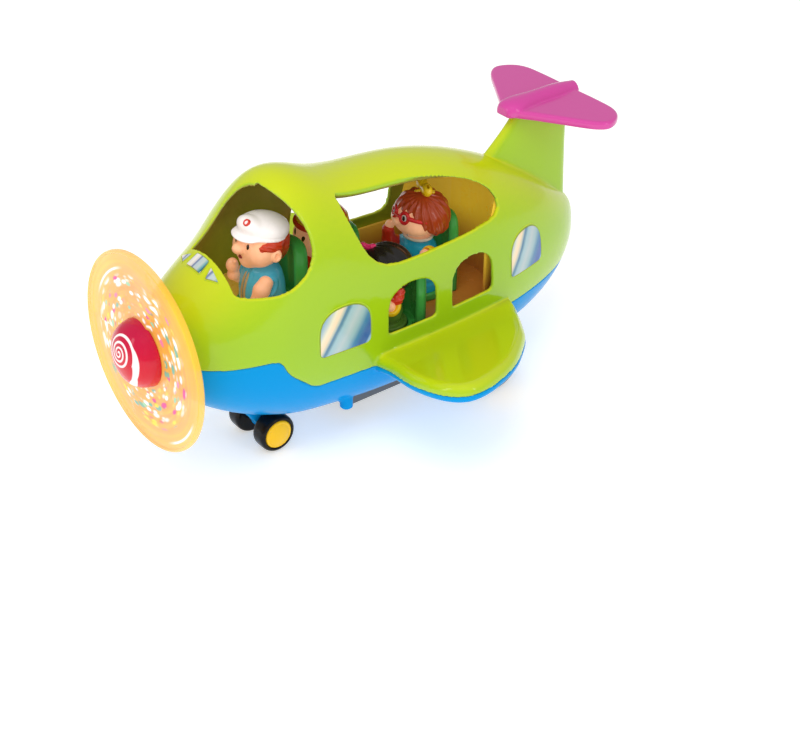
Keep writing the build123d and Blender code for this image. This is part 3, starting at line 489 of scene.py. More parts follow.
GREEN = moulded_green()
BLUE = plastic("blue_plastic", (0, 150, 222), dark=(0, 112, 190), rough=0.22, coat=0.02, edge=0.02, spec=0.06)
MAGENTA = plastic("magenta_plastic", (212, 66, 160), dark=(170, 36, 130), rough=0.18, coat=0.4)
CRIMSON = plastic("crimson_plastic", (214, 10, 46), dark=(150, 4, 30), rough=0.14, coat=0.25)
def tub_ochre():
    """Cabin plastic with painted light and shade: bright ochre and glowing where light reaches the bulkhead, a painted
    shade of brown-orange down in the tub.
    """
    mat = plastic("yellow_plastic", (246, 204, 54), dark=(216, 160, 30), rough=0.28, coat=0.08)
    nt = mat.node_tree
    bs = [n for n in nt.nodes if n.type == "BSDF_PRINCIPLED"][0]
    link = bs.inputs["Base Color"].links[0]
    col = link.from_socket
    nt.links.remove(link)
    sp = nt.nodes.new("ShaderNodeSeparateXYZ")
    nt.links.new(obj_coord(nt), sp.inputs[0])
    zf = ramp(nt, math_node(nt, "MULTIPLY", sp.outputs[2], 5.0), [(0.36, (0, 0, 0, 1)), (0.60, (1, 1, 1, 1))], "EASE")
    col = mixc(nt, zf, lin((206, 134, 58)), col)
    nt.links.new(col, bs.inputs["Base Color"])
    # painted light: the upper part glows with its own colour
    nt.links.new(mixc(nt, zf, (0, 0, 0, 1), col), bs.inputs["Emission Color"])
    bs.inputs["Emission Strength"].default_value = 0.2
    return mat


YELLOW = tub_ochre()
SEATG = plastic("seat_green_plastic", (70, 176, 78), dark=(34, 112, 40), rough=0.24, coat=0.15)
TYRE = plastic("black_plastic", (17, 12, 9), dark=(7, 5, 4), rough=0.24, coat=0.14, edge=0.0, spec=0.14)
HUB = plastic("hub_yellow_plastic", (255, 200, 2), dark=(238, 162, 0), rough=0.16, coat=0.2, edge=0.04, spec=0.25)
STEEL = metal("steel", (170, 172, 176))
BRASS = metal("brass", (205, 165, 90))
GREY = plastic("box_grey_plastic", (84, 86, 90), rough=0.5, coat=0.0, bump=0.2)
ACETAL = plastic("gear_plastic", (226, 226, 214), rough=0.4, coat=0.0)
BOARD = plastic("board_green", (20, 96, 52), rough=0.35, coat=0.2)
WRAP = plastic("battery_wrap", (44, 44, 48), rough=0.25, coat=0.3)
CONE = plastic("speaker_black", (24, 24, 26), rough=0.6, coat=0.0, bump=0.3)


def assign(ob, mat):
    ob.data.materials.clear()
    ob.data.materials.append(mat)


NODES = frame["nodes"]
DEFAULTS = {
    "green_plastic": GREEN, "blue_plastic": BLUE, "magenta_plastic": MAGENTA, "crimson_plastic": CRIMSON,
    "yellow_plastic": YELLOW, "seat_green_plastic": SEATG, "black_plastic": TYRE, "hub_yellow_plastic": HUB,
    "steel": STEEL, "brass": BRASS, "gear_plastic": ACETAL, "box_grey_plastic": GREY, "board_green": BOARD,
    "battery_wrap": WRAP, "speaker_black": CONE,
}
SLOT_OF = {s["node"]: s["material_slot"] for s in frame["record"]["subparts"]}
for n, ob in NODES.items():
    m = DEFAULTS.get(SLOT_OF.get(n, ""), None)
    if m:
        assign(ob, m)


def stand_for(ob, node):
    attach(ob, body_of(NODES[node])[0])
    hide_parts(node)
    return ob


# ---------------------------------------------------------------- shells
VOX = (0.00085)


def blob_weight(co, spots):
    """Extra smoothing where moulded blends are: spots are (x, y, z, radius) in mm."""
    w = np.zeros(len(co))
    for x, y, z, r in spots:
        d = np.linalg.norm(co * 1000 - np.array([x, y, z]), axis=1)
        w = np.maximum(w, 1 - smoothstep(d, 0.35 * r, r))
    return w


def shell(node, name, mat, base_steps, spots, extra):
    ob = remeshed(node, name, VOX)
    me = ob.data
    co, e = coords(me), edges_of(me)
    co = relax(co, e, base_steps)
    if spots is not None:
        w = spots(co)
        co = relax(co, e, extra, lam=0.6, mu=0, weight=w)
        co = relax(co, e, 3)
    set_coords(me, co)
    assign(ob, mat)
    stand_for(ob, node)
    return ob


def upper_spots(co):
    p = co * 1000
    x, y, z = p[:, 0], p[:, 1], p[:, 2]
    ay = np.abs(y)
    # concave blend along the wing root
    wing = (1 - smoothstep(np.abs(ay - 62), 6, 13)) * smoothstep(z, 70.5, 73) * (1 - smoothstep(z, 82, 88)) \
        * smoothstep(x, -92, -84) * (1 - smoothstep(x, 30, 36))
    # fin root
    fin = (1 - smoothstep(np.abs(z - 138 - (-x - 110) * 0.0), 12, 22)) * smoothstep(-x, 86, 94) * (1 - smoothstep(ay, 14, 20))
    return np.clip(np.maximum(wing, 0.6 * fin), 0, 1)


upper = shell("upper_shell", "body_upper_shell", GREEN, 6, upper_spots, 40)
lower = shell("lower_hull", "body_lower_hull", BLUE, 6, None, 0)
tail = remeshed("tail_stabilizer", "tail_crosspiece", 0.0007)
co, e = coords(tail.data), edges_of(tail.data)
co = relax(co, e, 8)
set_coords(tail.data, co)
assign(tail, MAGENTA)
stand_for(tail, "tail_stabilizer")

# ---------------------------------------------------------------- more materials
# skin_light, shirt_teal, vest_blue, cap_white and hair_redbrown glow faintly: painted light lifting the figures in the
# cabin
SKIN = plastic("skin_light", (250, 186, 144), dark=(226, 140, 100), rough=0.28, coat=0.2, sss=0.12, glow=0.20)
SKINB = plastic("skin_brown", (150, 92, 58), dark=(110, 62, 38), rough=0.28, coat=0.2, sss=0.06)
TEAL = plastic("shirt_teal", (30, 156, 186), dark=(12, 110, 134), rough=0.22, coat=0.3, glow=0.14)
BLUEV = plastic("vest_blue", (72, 172, 200), dark=(30, 112, 140), rough=0.22, coat=0.3, glow=0.14)
RED = plastic("shirt_red", (224, 52, 30), dark=(170, 24, 12), rough=0.24, coat=0.3)
GREENS = plastic("shirt_green", (96, 140, 50), dark=(60, 100, 30), rough=0.24, coat=0.2)
ORANGE = plastic("shirt_orange", (232, 96, 36), dark=(190, 50, 20), rough=0.24, coat=0.3)
CAPW = plastic("cap_white", (242, 236, 236), dark=(212, 204, 208), rough=0.26, coat=0.2, glow=0.16)
HAIRR = plastic("hair_redbrown", (168, 62, 26), dark=(110, 32, 12), rough=0.18, coat=0.45, edge=0.05, glow=0.12)
HAIRG = plastic("hair_ginger", (206, 58, 24), dark=(120, 24, 12), rough=0.24, coat=0.3)
HAIRB = plastic("hair_black", (26, 22, 20), dark=(10, 8, 8), rough=0.26, coat=0.2, edge=0.02)
BOWY = plastic("bow_yellow", (248, 206, 16), dark=(220, 160, 0), rough=0.2, coat=0.4)
PINK = plastic("tie_pink", (230, 38, 110), dark=(170, 16, 80), rough=0.2, coat=0.4)
GLASSR = plastic("glasses_red", (222, 30, 40), dark=(160, 10, 20), rough=0.16, coat=0.5)
EYEW = plastic("eye_white", (240, 232, 226), rough=0.12, coat=0.6)
EYED = plastic("eye_dark", (36, 20, 14), rough=0.08, coat=0.8, edge=0.0)
EYEB = plastic("eye_brown", (112, 58, 24), dark=(60, 28, 10), rough=0.08, coat=0.8, edge=0.0)
PURPLE = plastic("strap_purple", (98, 56, 122), dark=(60, 30, 84), rough=0.3, coat=0.2)
TAN = plastic("lapel_tan", (196, 172, 122), dark=(150, 126, 80), rough=0.3, coat=0.2)
WHITEC = plastic("collar_white", (232, 232, 222), rough=0.3, coat=0.2)
BROWNH = plastic("hair_brown", (74, 44, 28), dark=(40, 22, 12), rough=0.2, coat=0.5)
MOUTH = plastic("mouth_red", (150, 40, 36), dark=(90, 16, 16), rough=0.3, coat=0.2)

FH = 0.5
FIG = {  # row place in mm of the seat floor, facing angle, body height, head radius
    "pilot": ((82.0, 0.0, 107.0), 0.0, 34.0, 16.4),
    "rear_passenger": ((-52.0, 0.0, 72.0), -8.0, 41.0, 17.4),
    "left_passenger": ((-1.0, 27.0, 72.0), 0.0, 31.0, 16.8),
    "right_passenger": ((15.0, -27.0, 72.0), -10.0, 41.0, 16.6),
}


def place(V, who):
    (ox, oy, oz), yaw, _, _ = FIG[who]
    a = math.radians(yaw)
    c, s = math.cos(a), math.sin(a)
    out = V.copy()
    out[:, 0] = V[:, 0] * c - V[:, 1] * s + ox
    out[:, 1] = V[:, 0] * s + V[:, 1] * c + oy
    out[:, 2] = V[:, 2] + oz
    return out * MM


def piece(who, part, lo, hi, fn, mat, h=None, smooth=2, stands=None):
    F = Field(lo, hi, h or FH)
    V, Q = F.mesh(fn(F.P), part, smooth)
    ob = new_mesh(who + "_" + part, place(V, who), Q)
    assign(ob, mat)
    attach(ob, who)
    if stands:
        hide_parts(*stands)
    return ob


def head_shape(P, zc, r):
    """Chubby round head: full cheeks low down, flatter crown."""
    d = ell(P, (0, 0, zc), (r * 0.99, r * 1.02, r * 0.97))
    for s in (1, -1):
        d = smin(d, ell(P, (r * 0.40, s * r * 0.50, zc - r * 0.28), (r * 0.56, r * 0.52, r * 0.56)), 5.0)
    d = smin(d, ell(P, (r * 0.42, 0, zc - r * 0.52), (r * 0.55, r * 0.6, r * 0.44)), 4.0)
    return d


def ear(P, s, zc, r, x=-0.08):
    d = ell(P, (r * x, s * r * 1.02, zc - r * 0.16), (3.4, 2.6, 4.6))
    dent = ell(P, (r * x + 0.9, s * (r * 1.02 + 2.4), zc - r * 0.16), (1.9, 1.6, 2.9))
    return smax(d, -dent, 0.8)


def torso(P, h, rb=15.0, rt=12.6, squash=1.0):
    """Peg body: round foot in the socket, full belly, sloping shoulders."""
    foot = rcyl(P, (0, 0, 4.6), rb, 4.6, 1.2)
    belly = ell(P, (0.6, 0, h * 0.40), (rb * 1.02, rb * 1.08, h * 0.46))
    chest = ell(P, (0, 0, h * 0.66), (rt * 0.98, rt * 1.14, h * 0.32))
    d = smin(foot, belly, 4.0)
    return smin(d, chest, 5.0)


def pilot_pieces():
    w, (_, _, h, r) = "pilot", FIG["pilot"]
    zc = h + r * 0.93
    lo, hi = (-22, -25, h - 6), (26, 25, zc + r + 3)

    def skin(P):
        d = head_shape(P, zc, r)
        d = smin(d, ell(P, (r * 1.06, -0.6, zc - r * 0.06), (5.0, 4.4, 4.0)), 2.2)
        for s in (1, -1):
            pinna = ell(P, (0.4, s * (r + 0.8), zc - 4.6), (3.7, 3.2, 4.6), rot("Y", -12))
            pinna = smax(pinna, -ell(P, (1.0, s * (r + 3.0), zc - 4.2), (1.7, 1.5, 2.4)), 0.8)
            d = smin(d, pinna, 1.0)
        mouth = ell(P, (r * 1.0, -1.4, zc - r * 0.50), (3.4, 2.4, 1.4))
        d = smax(d, -mouth, 0.9)
        # soft dimple under the cheek and a rounded chin
        d = smin(d, ell(P, (r * 0.62, 0, zc - r * 0.74), (6.0, 5.6, 4.6)), 3.0)
        neck = cap(P, (0, 0, h - 5), (0, 0, h + 4), 8.0)
        return smin(d, neck, 2.0)
    piece(w, "face", lo, hi, skin, SKIN, stands=["pilot_head"])

    def mouth(P):
        return ell(P, (r * 0.92, -1.4, zc - r * 0.50), (2.2, 2.3, 1.3))
    piece(w, "mouth", (10, -7, zc - 13), (20, 6, zc - 4), mouth, MOUTH, h=0.4)

    def hair(P):
        x, y, z = P[..., 0], P[..., 1], P[..., 2]
        d = ell(P, (-1.2, 0, zc - 0.2), (r * 1.08, r * 1.09, r * 1.04))
        back = smax(smax(d, x + 3.0, 1.5), (zc - r * 0.80) - z, 2.0)
        # locks comb downwards over the nape
        a = np.arctan2(y, -x)
        back = back + 0.42 * np.cos(a * 11.0 + 0.5 * np.sin(z * 0.5)) * smoothstep(zc + 6 - z, 0, 6)
        for s in (1, -1):
            burn = ell(P, (r * 0.22, s * r * 0.955, zc + 1.6), (8.2, 2.4, 4.3), rot("Z", -s * 14))
            burn = burn + 0.25 * np.cos((z - 0.4 * x) * 2.3)
            back = smin(back, burn, 1.2)
        return back
    piece(w, "hair", (-22, -22, zc - 16), (14, 22, zc + 16), hair, HAIRG)

    def cap_(P):
        x, z = P[..., 0], P[..., 2]
        R = rot("Y", -8)
        crown = ell(P, (-2.0, 0, zc + 9.8), (r * 1.03, r * 1.02, 8.4), R)
        front = ell(P, (9.0, 0, zc + 13.2), (7.2, 11.0, 6.6), rot("Y", -24))
        top = smin(crown, front, 1.8)
        band = smax(ell(P, (-0.4, 0, zc + 5.0), (r * 1.05, r * 1.06, 12.0)), (zc + 5.0 + 0.17 * x) - z, 1.2)
        band = smax(band, z - (zc + 10.5), 3.0)
        d = smin(top, band, 2.2)
        peak = ell(P, (r * 0.72, 0, zc + 7.6), (8.6, 12.6, 1.9), rot("Y", 2))
        peak = smax(peak, 4.0 - x, 2.0)
        d = smin(d, peak, 1.5)
        # stitched seam between crown and band
        seam = np.abs(z - (zc + 7.4 + 0.20 * x))
        d = d + 0.30 * np.exp(-(seam / 0.7) ** 2) * smoothstep(-x, -12, -8)
        inner = ell(P, (0, 0, zc), (r * 0.9, r * 0.92, r * 0.9))
        return smax(d, -inner, 0.5)
    piece(w, "cap_shell", (-22, -21, zc - 2), (28, 21, zc + 25), cap_, CAPW, stands=["pilot_cap"])

    def badge(P):
        c = np.array([13.0, 3.2, zc + 17.8], np.float32)
        q = (P - c) @ np.array(rot("Y", -46), np.float32)
        return np.sqrt((np.hypot(q[..., 1], q[..., 2]) - 2.0) ** 2 + (q[..., 0] * 0.35) ** 2) - 0.6
    piece(w, "cap_badge", (8, -3, zc + 12), (20, 9, zc + 23), badge, RED, h=0.35)

    for s, nm in ((1, "port"), (-1, "star")):
        th = math.radians(s * 24)
        ex, ey, ez = r * 0.975 * math.cos(th) * 0.985, r * 0.975 * math.sin(th), zc + 1.2

        def eye(P, ex=ex, ey=ey):
            return ell(P, (ex, ey, ez), (1.2, 2.1, 3.0), rot("Z", s * 24))
        piece(w, "eye_" + nm, (ex - 3, ey - 4, ez - 4), (ex + 3, ey + 4, ez + 4), eye, EYEB, h=0.35)

        def pupil(P, ex=ex, ey=ey):
            return ell(P, (ex + 0.8 * math.cos(th), ey + 0.8 * math.sin(th), ez), (0.8, 1.4, 2.1), rot("Z", s * 24))
        piece(w, "pupil_" + nm, (ex - 3, ey - 4, ez - 4), (ex + 4, ey + 4, ez + 4), pupil, EYED, h=0.3)

    def vest(P):
        d = torso(P, h)
        d = smin(d, ell(P, (0, 0, h * 0.80), (10.6, 14.2, 7.0)), 4.0)
        front = smoothstep(P[..., 0], 2, 6)
        d = d + 0.55 * np.exp(-(np.abs(P[..., 1]) / 0.7) ** 2) * front
        # raised hem along the open front and round the neck
        d = d - 0.45 * np.exp(-((np.abs(P[..., 1]) - 3.4) / 0.9) ** 2) * front
        for s in (1, -1):
            hole = np.sqrt((cap(P, (2.0, s * 9.0, h * 0.70), (6.5, s * 17.0, h * 0.62), 5.4)) ** 2 + (d * 0.8) ** 2) - 1.2
            d = smin(d, hole, 0.8)
        return smax(d, P[..., 2] - (h + 1.5), 1.5)
    piece(w, "vest", (-18, -20, -1), (19, 20, h + 4), vest, BLUEV, stands=["pilot_body"])

    def lapel(P):
        d = np.abs(torso(P, h)) - 0.75
        d = smax(d, np.abs(np.abs(P[..., 1]) - 1.6) - 0.95, 0.4)
        d = smax(d, -(P[..., 0] - 4), 0.4)
        return smax(d, P[..., 2] - (h - 2), 0.5)
    piece(w, "lapels", (3, -6, 2), (19, 6, h), lapel, TAN, h=0.4)

    def arms(P):
        # port arm comes forwards and down, starboard hand is raised
        d = cap(P, (6.6, 13.2, h * 0.72), (11.0, 14.6, h * 0.62), 5.0, 5.4)
        d = smin(d, cap(P, (11.0, 14.6, h * 0.62), (13.4, 13.4, h * 0.44), 5.4, 4.6), 2.0)
        d = smin(d, ell(P, (14.0, 12.6, h * 0.38), (4.0, 3.9, 4.0)), 1.4)
        d = smin(d, cap(P, (0.5, -13.6, h * 0.72), (7.4, -16.0, h * 0.50), 4.6, 4.6), 3)
        d = smin(d, cap(P, (7.4, -16.0, h * 0.50), (13.4, -14.4, h * 0.62), 4.5, 4.4), 2.0)
        d = smin(d, ell(P, (14.6, -13.8, h * 0.84), (4.3, 4.2, 5.2)), 1.5)
        thumb = cap(P, (14.6, -11.2, h * 0.88), (15.2, -9.8, h * 0.98), 1.7, 1.3)
        return smin(d, thumb, 1.2)
    piece(w, "arms", (-7, -24, 2), (23, 24, h + 6), arms, SKIN)


def spectacles(w, zc, ze, r):
    """Moulded spectacles: two rims, a bridge and temples running back under the hair."""
    def skin_at(az, z, k):
        az = math.radians(az)
        rr = math.cos(math.asin(max(-0.95, min(0.95, (z - zc) / r))))
        return (r * k * rr * math.cos(az), r * k * rr * math.sin(az), z)
    for s, nm in ((1, "port"), (-1, "star")):
        ex, ey, ez = skin_at(s * 21, ze, 1.02)
        R = np.array(rot("Z", s * 21) @ rot("Y", -14), np.float32)

        def rim(P, c=(ex, ey, ez), R=R):
            q = (P - np.array(c, np.float32)) @ R
            rr = np.sqrt(q[..., 1] ** 2 + (q[..., 2] / 1.1) ** 2)
            return np.sqrt((rr - 3.3) ** 2 + (q[..., 0] * 0.8) ** 2) - 1.25
        piece(w, "rim_" + nm, (ex - 6, ey - 7, ez - 7), (ex + 6, ey + 7, ez + 7), rim, GLASSR, h=0.4)

        def lens(P, c=(ex, ey, ez), R=R):
            return ell(P, tuple(np.array(c) - np.array([0.3 * math.cos(math.radians(s * 21)), 0.3 * math.sin(math.radians(s * 21)), 0])), (1.3, 2.8, 3.1), R)
        piece(w, "eye_" + nm, (ex - 4, ey - 5, ez - 5), (ex + 4, ey + 5, ez + 5), lens, EYEW, h=0.35)

        def pup(P, c=(ex, ey, ez), R=R):
            return ell(P, tuple(np.array(c) + np.array([0.7 * math.cos(math.radians(s * 21)), 0.7 * math.sin(math.radians(s * 21)), 0])), (0.8, 1.3, 1.9), R)
        piece(w, "pupil_" + nm, (ex - 3, ey - 4, ez - 4), (ex + 4, ey + 4, ez + 4), pup, EYED, h=0.3)

    def bars(P):
        d = cap(P, skin_at(-9, ze + 0.4, 1.10), skin_at(9, ze + 0.4, 1.10), 1.2)
        for s in (1, -1):
            p0, p1, p2 = skin_at(s * 34, ze + 0.6, 1.05), skin_at(s * 58, ze - 0.6, 1.06), skin_at(s * 84, ze - 2.4, 1.05)
            d = np.minimum(d, cap(P, p0, p1, 1.7, 1.5))
            d = np.minimum(d, cap(P, p1, p2, 1.5, 1.2))
        return d
    piece(w, "spectacle_bars", (-4, -22, ze - 7), (23, 22, ze + 5), bars, GLASSR, h=0.45)


def rear_pieces():
    w, (_, _, h, r) = "rear_passenger", FIG["rear_passenger"]
    zc = h + r * 0.93 + 2.6
    ze = zc + 3.6
    lo, hi = (-22, -25, h - 6), (26, 25, zc + r + 3)

    def skin(P):
        d = ell(P, (0, 0, zc + 1.6), (r * 0.98, r * 1.0, r * 0.86))
        for s in (1, -1):
            d = smin(d, ell(P, (r * 0.42, s * r * 0.48, zc - r * 0.20), (r * 0.56, r * 0.54, r * 0.42)), 4.0)
        d = smin(d, ell(P, (r * 0.46, 0, zc - r * 0.34), (r * 0.54, r * 0.6, r * 0.32)), 3.5)
        d = smin(d, ell(P, (r * 1.05, 0, zc - r * 0.06), (2.6, 2.5, 2.2)), 1.8)
        mouth = cap(P, (r * 1.02, -2.8, zc - r * 0.38), (r * 1.02, 2.8, zc - r * 0.38), 0.9)
        d = smax(d, -mouth, 0.6)
        neck = cap(P, (0, 0, h - 5), (0, 0, h + 4), 8.0)
        return smin(d, neck, 2.0)
    piece(w, "face", lo, hi, skin, SKIN, stands=["rear_passenger_head"])

    def hair(P):
        x, y, z = P[..., 0], P[..., 1], P[..., 2]
        d = ell(P, (-1.6, 0, zc + 0.6), (r * 1.13, r * 1.14, r * 1.02))
        # full bob: rounded lobes over the ears that curl in at the ends
        for s in (1, -1):
            d = smin(d, ell(P, (-3.4, s * r * 0.84, zc - 1.0), (8.6, 6.0, 8.4)), 3.0)
            d = smin(d, ell(P, (-1.2, s * r * 1.04, zc - 4.2), (4.6, 3.0, 4.2)), 2.0)
            d = smin(d, ell(P, (-9.2, s * r * 0.74, zc - 5.4), (5.0, 5.0, 4.6)), 2.4)
        d = smin(d, ell(P, (-12.0, 0, zc - 4.0), (7.0, 13.0, 8.4)), 4.0)
        a = np.arctan2(y, x)
        # swept fringe: parted on the port side, cut to the ears
        line = zc + 7.0 + 1.0 * np.cos((a - 0.5) * 2.0) - 13.0 * smoothstep(np.abs(a), 0.55, 1.45)
        open_ = smax(z - line, -(x + 2.6), 1.6)
        d = smax(d, -open_, 1.4)
        d = smax(d, -(z - (zc - r * 0.66)), 2.5)
        # strands combed from the parting down, deeper towards the ends
        px, py = 2.0, 5.0
        b = np.arctan2(y - py, x - px)
        rr = np.hypot(x - px, y - py)
        strands = 0.55 * np.sin(b * 15.0 + 0.9 * np.sin(z * 0.30)) + 0.25 * np.sin(b * 31.0 + z * 0.3)
        return d + strands * smoothstep(rr, 2.0, 9.0)
    piece(w, "hair", (-24, -26, zc - 16), (22, 26, zc + 23), hair, HAIRR, smooth=2)

    def bow(P):
        c = np.array([-2.6, 1.2, zc + r * 1.02 + 1.6], np.float32)
        q = (P - c) @ np.array(rot("Z", 74), np.float32)
        d = ell(q, (0, 0, 0.6), (2.5, 2.6, 2.8))
        for s in (1, -1):
            lobe = ell(q, (s * 6.4, 0, 1.8 + s * 0.6), (5.6, 3.8, 4.8), rot("Y", -s * 20))
            dent = ell(q, (s * 7.6, 0, 3.8 + s * 0.6), (2.8, 1.2, 2.4), rot("Y", -s * 20))
            d = smin(d, smax(lobe, -dent, 1.2), 1.4)
        for s in (1, -1):
            d = smin(d, cap(q, (0, s * 1.5, -0.5), (s * 1.5, s * 5.6, -2.2), 1.3, 1.7), 0.9)
        return d
    piece(w, "bow", (-14, -12, zc + r * 0.88), (10, 14, zc + r * 1.02 + 11), bow, BOWY)

    spectacles(w, zc, ze, r)

    def top(P):
        d = torso(P, h, 15.0, 12.8)
        d = smin(d, ell(P, (0.6, 0, h * 0.88), (11.4, 15.6, 7.4)), 4.0)
        d = smin(d, cap(P, (0.5, 13.0, h * 0.88), (2.0, 16.6, h * 0.88), 5.4, 5.0), 2.5)
        d = smin(d, cap(P, (0.5, -13.4, h * 0.80), (7.0, -14.4, h * 0.80), 4.9, 4.8), 2.5)
        folds = 0.22 * np.sin(P[..., 2] * 1.1 + 0.5 * P[..., 1])
        d = d + folds * smoothstep(P[..., 2], 6, 12)
        return smax(d, P[..., 2] - (h + 4.0), 1.5)
    piece(w, "top", (-18, -24, -1), (22, 24, h + 5), top, TEAL, stands=["rear_passenger_body"])

    def sleeve(P):
        d = cap(P, (9.0, -14.8, h * 0.80), (15.6, -15.6, h * 0.88), 5.0, 4.9)
        d = smin(d, cap(P, (15.6, -15.6, h * 0.88), (16.6, -15.4, h * 1.08), 4.9, 4.4), 2.0)
        return d
    piece(w, "sleeve_star", (2, -24, h * 0.55), (24, -8, h * 1.25), sleeve, RED)

    def hand_s(P):
        d = ell(P, (15.6, -15.0, h * 1.17), (3.3, 3.2, 3.6))
        return smin(d, cap(P, (14.6, -12.4, h * 1.20), (14.4, -11.2, h * 1.28), 1.6, 1.2), 1.2)
    piece(w, "hand_star", (8, -22, h * 1.02), (23, -7, h * 1.40), hand_s, SKIN)

    def cuff(P):
        return smax(cap(P, (0.0, 17.4, h * 0.88), (3.6, 19.4, h * 0.95), 5.2, 5.2), -cap(P, (6.6, 20.4, h * 0.98), (10, 21.6, h * 1.0), 3.6), 0.8)
    piece(w, "cuff_port", (-8, 9, h * 0.65), (14, 27, h * 1.25), cuff, BOWY)

    def hand_p(P):
        return ell(P, (7.2, 19.4, h * 0.95), (3.8, 3.4, 3.5))
    piece(w, "hand_port", (1, 13, h * 0.8), (14, 25, h * 1.12), hand_p, SKIN)

    def strap(P):
        d = np.abs(torso(P, h, 15.0, 12.8)) - 0.9
        u = P[..., 1] * 0.86 + P[..., 2] * 0.50 - (h * 0.36)
        d = smax(d, np.abs(u + 1.0) - 1.6, 0.4)
        d = smax(d, -(P[..., 0] - 3), 0.4)
        return smax(d, P[..., 2] - (h - 1), 0.5)
    piece(w, "strap", (2, -18, 2), (20, 18, h + 1), strap, PURPLE, h=0.45)

    def collar(P):
        q = P - np.array([1.0, 0, h + 3.2], np.float32)
        rr = np.hypot(q[..., 0] / 1.0, q[..., 1] / 1.12)
        return np.sqrt((rr - 9.6) ** 2 + (q[..., 2]) ** 2) - 1.1
    piece(w, "collar", (-12, -14, h - 3), (14, 14, h + 7), collar, WHITEC, h=0.45)


def left_pieces():
    w, (_, _, h, r) = "left_passenger", FIG["left_passenger"]
    zc = h + r * 0.93
    lo, hi = (-22, -25, h - 6), (26, 25, zc + r + 3)

    def skin(P):
        d = head_shape(P, zc, r)
        d = smin(d, ell(P, (r * 1.04, 0, zc - r * 0.30), (2.6, 2.8, 2.2)), 1.8)
        for s in (1, -1):
            d = smin(d, ear(P, s, zc, r), 1.0)
        d = smax(d, -cap(P, (r * 0.98, -2.8, zc - r * 0.60), (r * 0.98, 2.8, zc - r * 0.60), 0.8), 0.6)
        d = smax(d, P[..., 2] - (zc + r * 0.50) + 0.5 * np.minimum(P[..., 0] - 4.0, 0.0) * -1.0, 2.0)
        neck = cap(P, (0, 0, h - 5), (0, 0, h + 4), 8.0)
        return smin(d, neck, 2.0)
    piece(w, "face", lo, hi, skin, SKINB, stands=["left_passenger_head"])

    def hair(P):
        x, y, z = P[..., 0], P[..., 1], P[..., 2]
        d = ell(P, (-1.0, 0, zc - 0.6), (r * 1.08, r * 1.10, r * 1.04))
        d = smin(d, ell(P, (-8.0, 0, zc - 4.0), (10.0, 15.0, 11.0)), 4.0)
        a = np.arctan2(y, x)
        line = zc + 7.5 - 9.0 * smoothstep(np.abs(a), 0.7, 1.45)
        face = smax(z - line, -(x + 0.5 + 0.18 * (z - zc)), 1.5)
        d = smax(d, -face, 1.6)
        d = smax(d, -(z - (zc - r * 0.70)), 2.5)
        # combed locks gather at the tie on the front of the crown
        tx, ty, tz = 5.5, -10.0, zc + r * 0.70
        v = np.stack([x - tx, y - ty, z - tz], -1)
        az = np.arctan2(v[..., 1] + 0.35 * v[..., 2], -v[..., 0])
        rr = np.sqrt((v ** 2).sum(-1))
        groove = 0.45 * np.cos(az * 15.0) * smoothstep(rr, 2, 9)
        return d + groove
    piece(w, "hair", (-22, -22, zc - 14), (22, 22, zc + 22), hair, HAIRB, smooth=1)

    def tie(P):
        c = np.array([6.6, -11.6, zc + r * 0.76], np.float32)
        q = (P - c) @ np.array(rot("Z", 35), np.float32)
        d = ell(q, (0, 0, 0), (2.2, 2.2, 2.2))
        for s in (1, -1):
            d = smin(d, ell(q, (0, s * 3.5, 0.6), (2.2, 2.9, 2.5)), 1.0)
        return d
    piece(w, "hair_tie", (-4, -24, zc + 6), (17, 1, zc + 24), tie, PINK)

    for s, nm in ((1, "port"), (-1, "star")):
        th = math.radians(s * 25)
        ex, ey = r * 0.97 * math.cos(th), r * 0.98 * math.sin(th)

        def eye(P, ex=ex, ey=ey, s=s):
            return ell(P, (ex, ey, zc - 0.5), (1.3, 2.1, 2.8), rot("Z", s * 25))
        piece(w, "eye_" + nm, (ex - 3, ey - 4, zc - 5), (ex + 3, ey + 4, zc + 4), eye, EYED, h=0.35)

    def trunk(P):
        foot = rcyl(P, (0, 0, 3.0), 15.0, 3.0, 1.2)
        d = smin(foot, ell(P, (0.4, 0, h * 0.44), (12.6, 12.4, h * 0.44)), 2.5)
        return smin(d, ell(P, (0, 0, h * 0.76), (10.0, 12.8, 7.0)), 4.0)

    def shirt(P):
        d = trunk(P)
        for s in (1, -1):
            d = smin(d, cap(P, (-1.8, s * 10.6, h * 0.96), (-1.6, s * 12.2, h * 0.94), 4.4, 4.2), 2.0)
        return smax(d, P[..., 2] - (h + 4.5), 1.5)
    piece(w, "shirt", (-18, -21, -1), (19, 21, h + 7), shirt, GREENS, stands=["left_passenger_body"])

    def sleeves(P):
        d = None
        for s in (1, -1):
            a = cap(P, (-0.6, s * 12.4, h * 1.06), (1.4, s * 13.4, h * 0.94), 5.0, 4.9)
            a = a + 0.25 * np.cos(P[..., 2] * 1.8)
            d = a if d is None else np.minimum(d, a)
        return d
    piece(w, "sleeves", (-9, -22, h * 0.6), (9, 22, h * 1.25), sleeves, RED)

    def cuffs(P):
        d = None
        for s in (1, -1):
            R = np.array(rot("Z", s * 58) @ rot("Y", -24), np.float32)
            q = (P - np.array([5.4, s * 12.6, h * 0.80], np.float32)) @ R
            a = ell(q, (0, 0, 0), (4.2, 7.2, 8.4))
            a = smax(a, -ell(q, (4.2, 0, 0), (3.6, 4.8, 5.4)), 1.0)
            d = a if d is None else np.minimum(d, a)
        return d
    piece(w, "cuffs", (-9, -25, 8), (16, 25, h + 5), cuffs, BOWY)

    def hands(P):
        d = None
        for s in (1, -1):
            a = ell(P, (7.0, s * 14.4, h * 0.80), (3.4, 3.2, 3.7))
            a = smin(a, cap(P, (8.0, s * 14.4, h * 0.88), (8.6, s * 14.6, h * 0.96), 1.5, 1.2), 1.2)
            d = a if d is None else np.minimum(d, a)
        return d
    piece(w, "hands", (-2, -23, 12), (14, 23, h * 1.1), hands, SKIN)

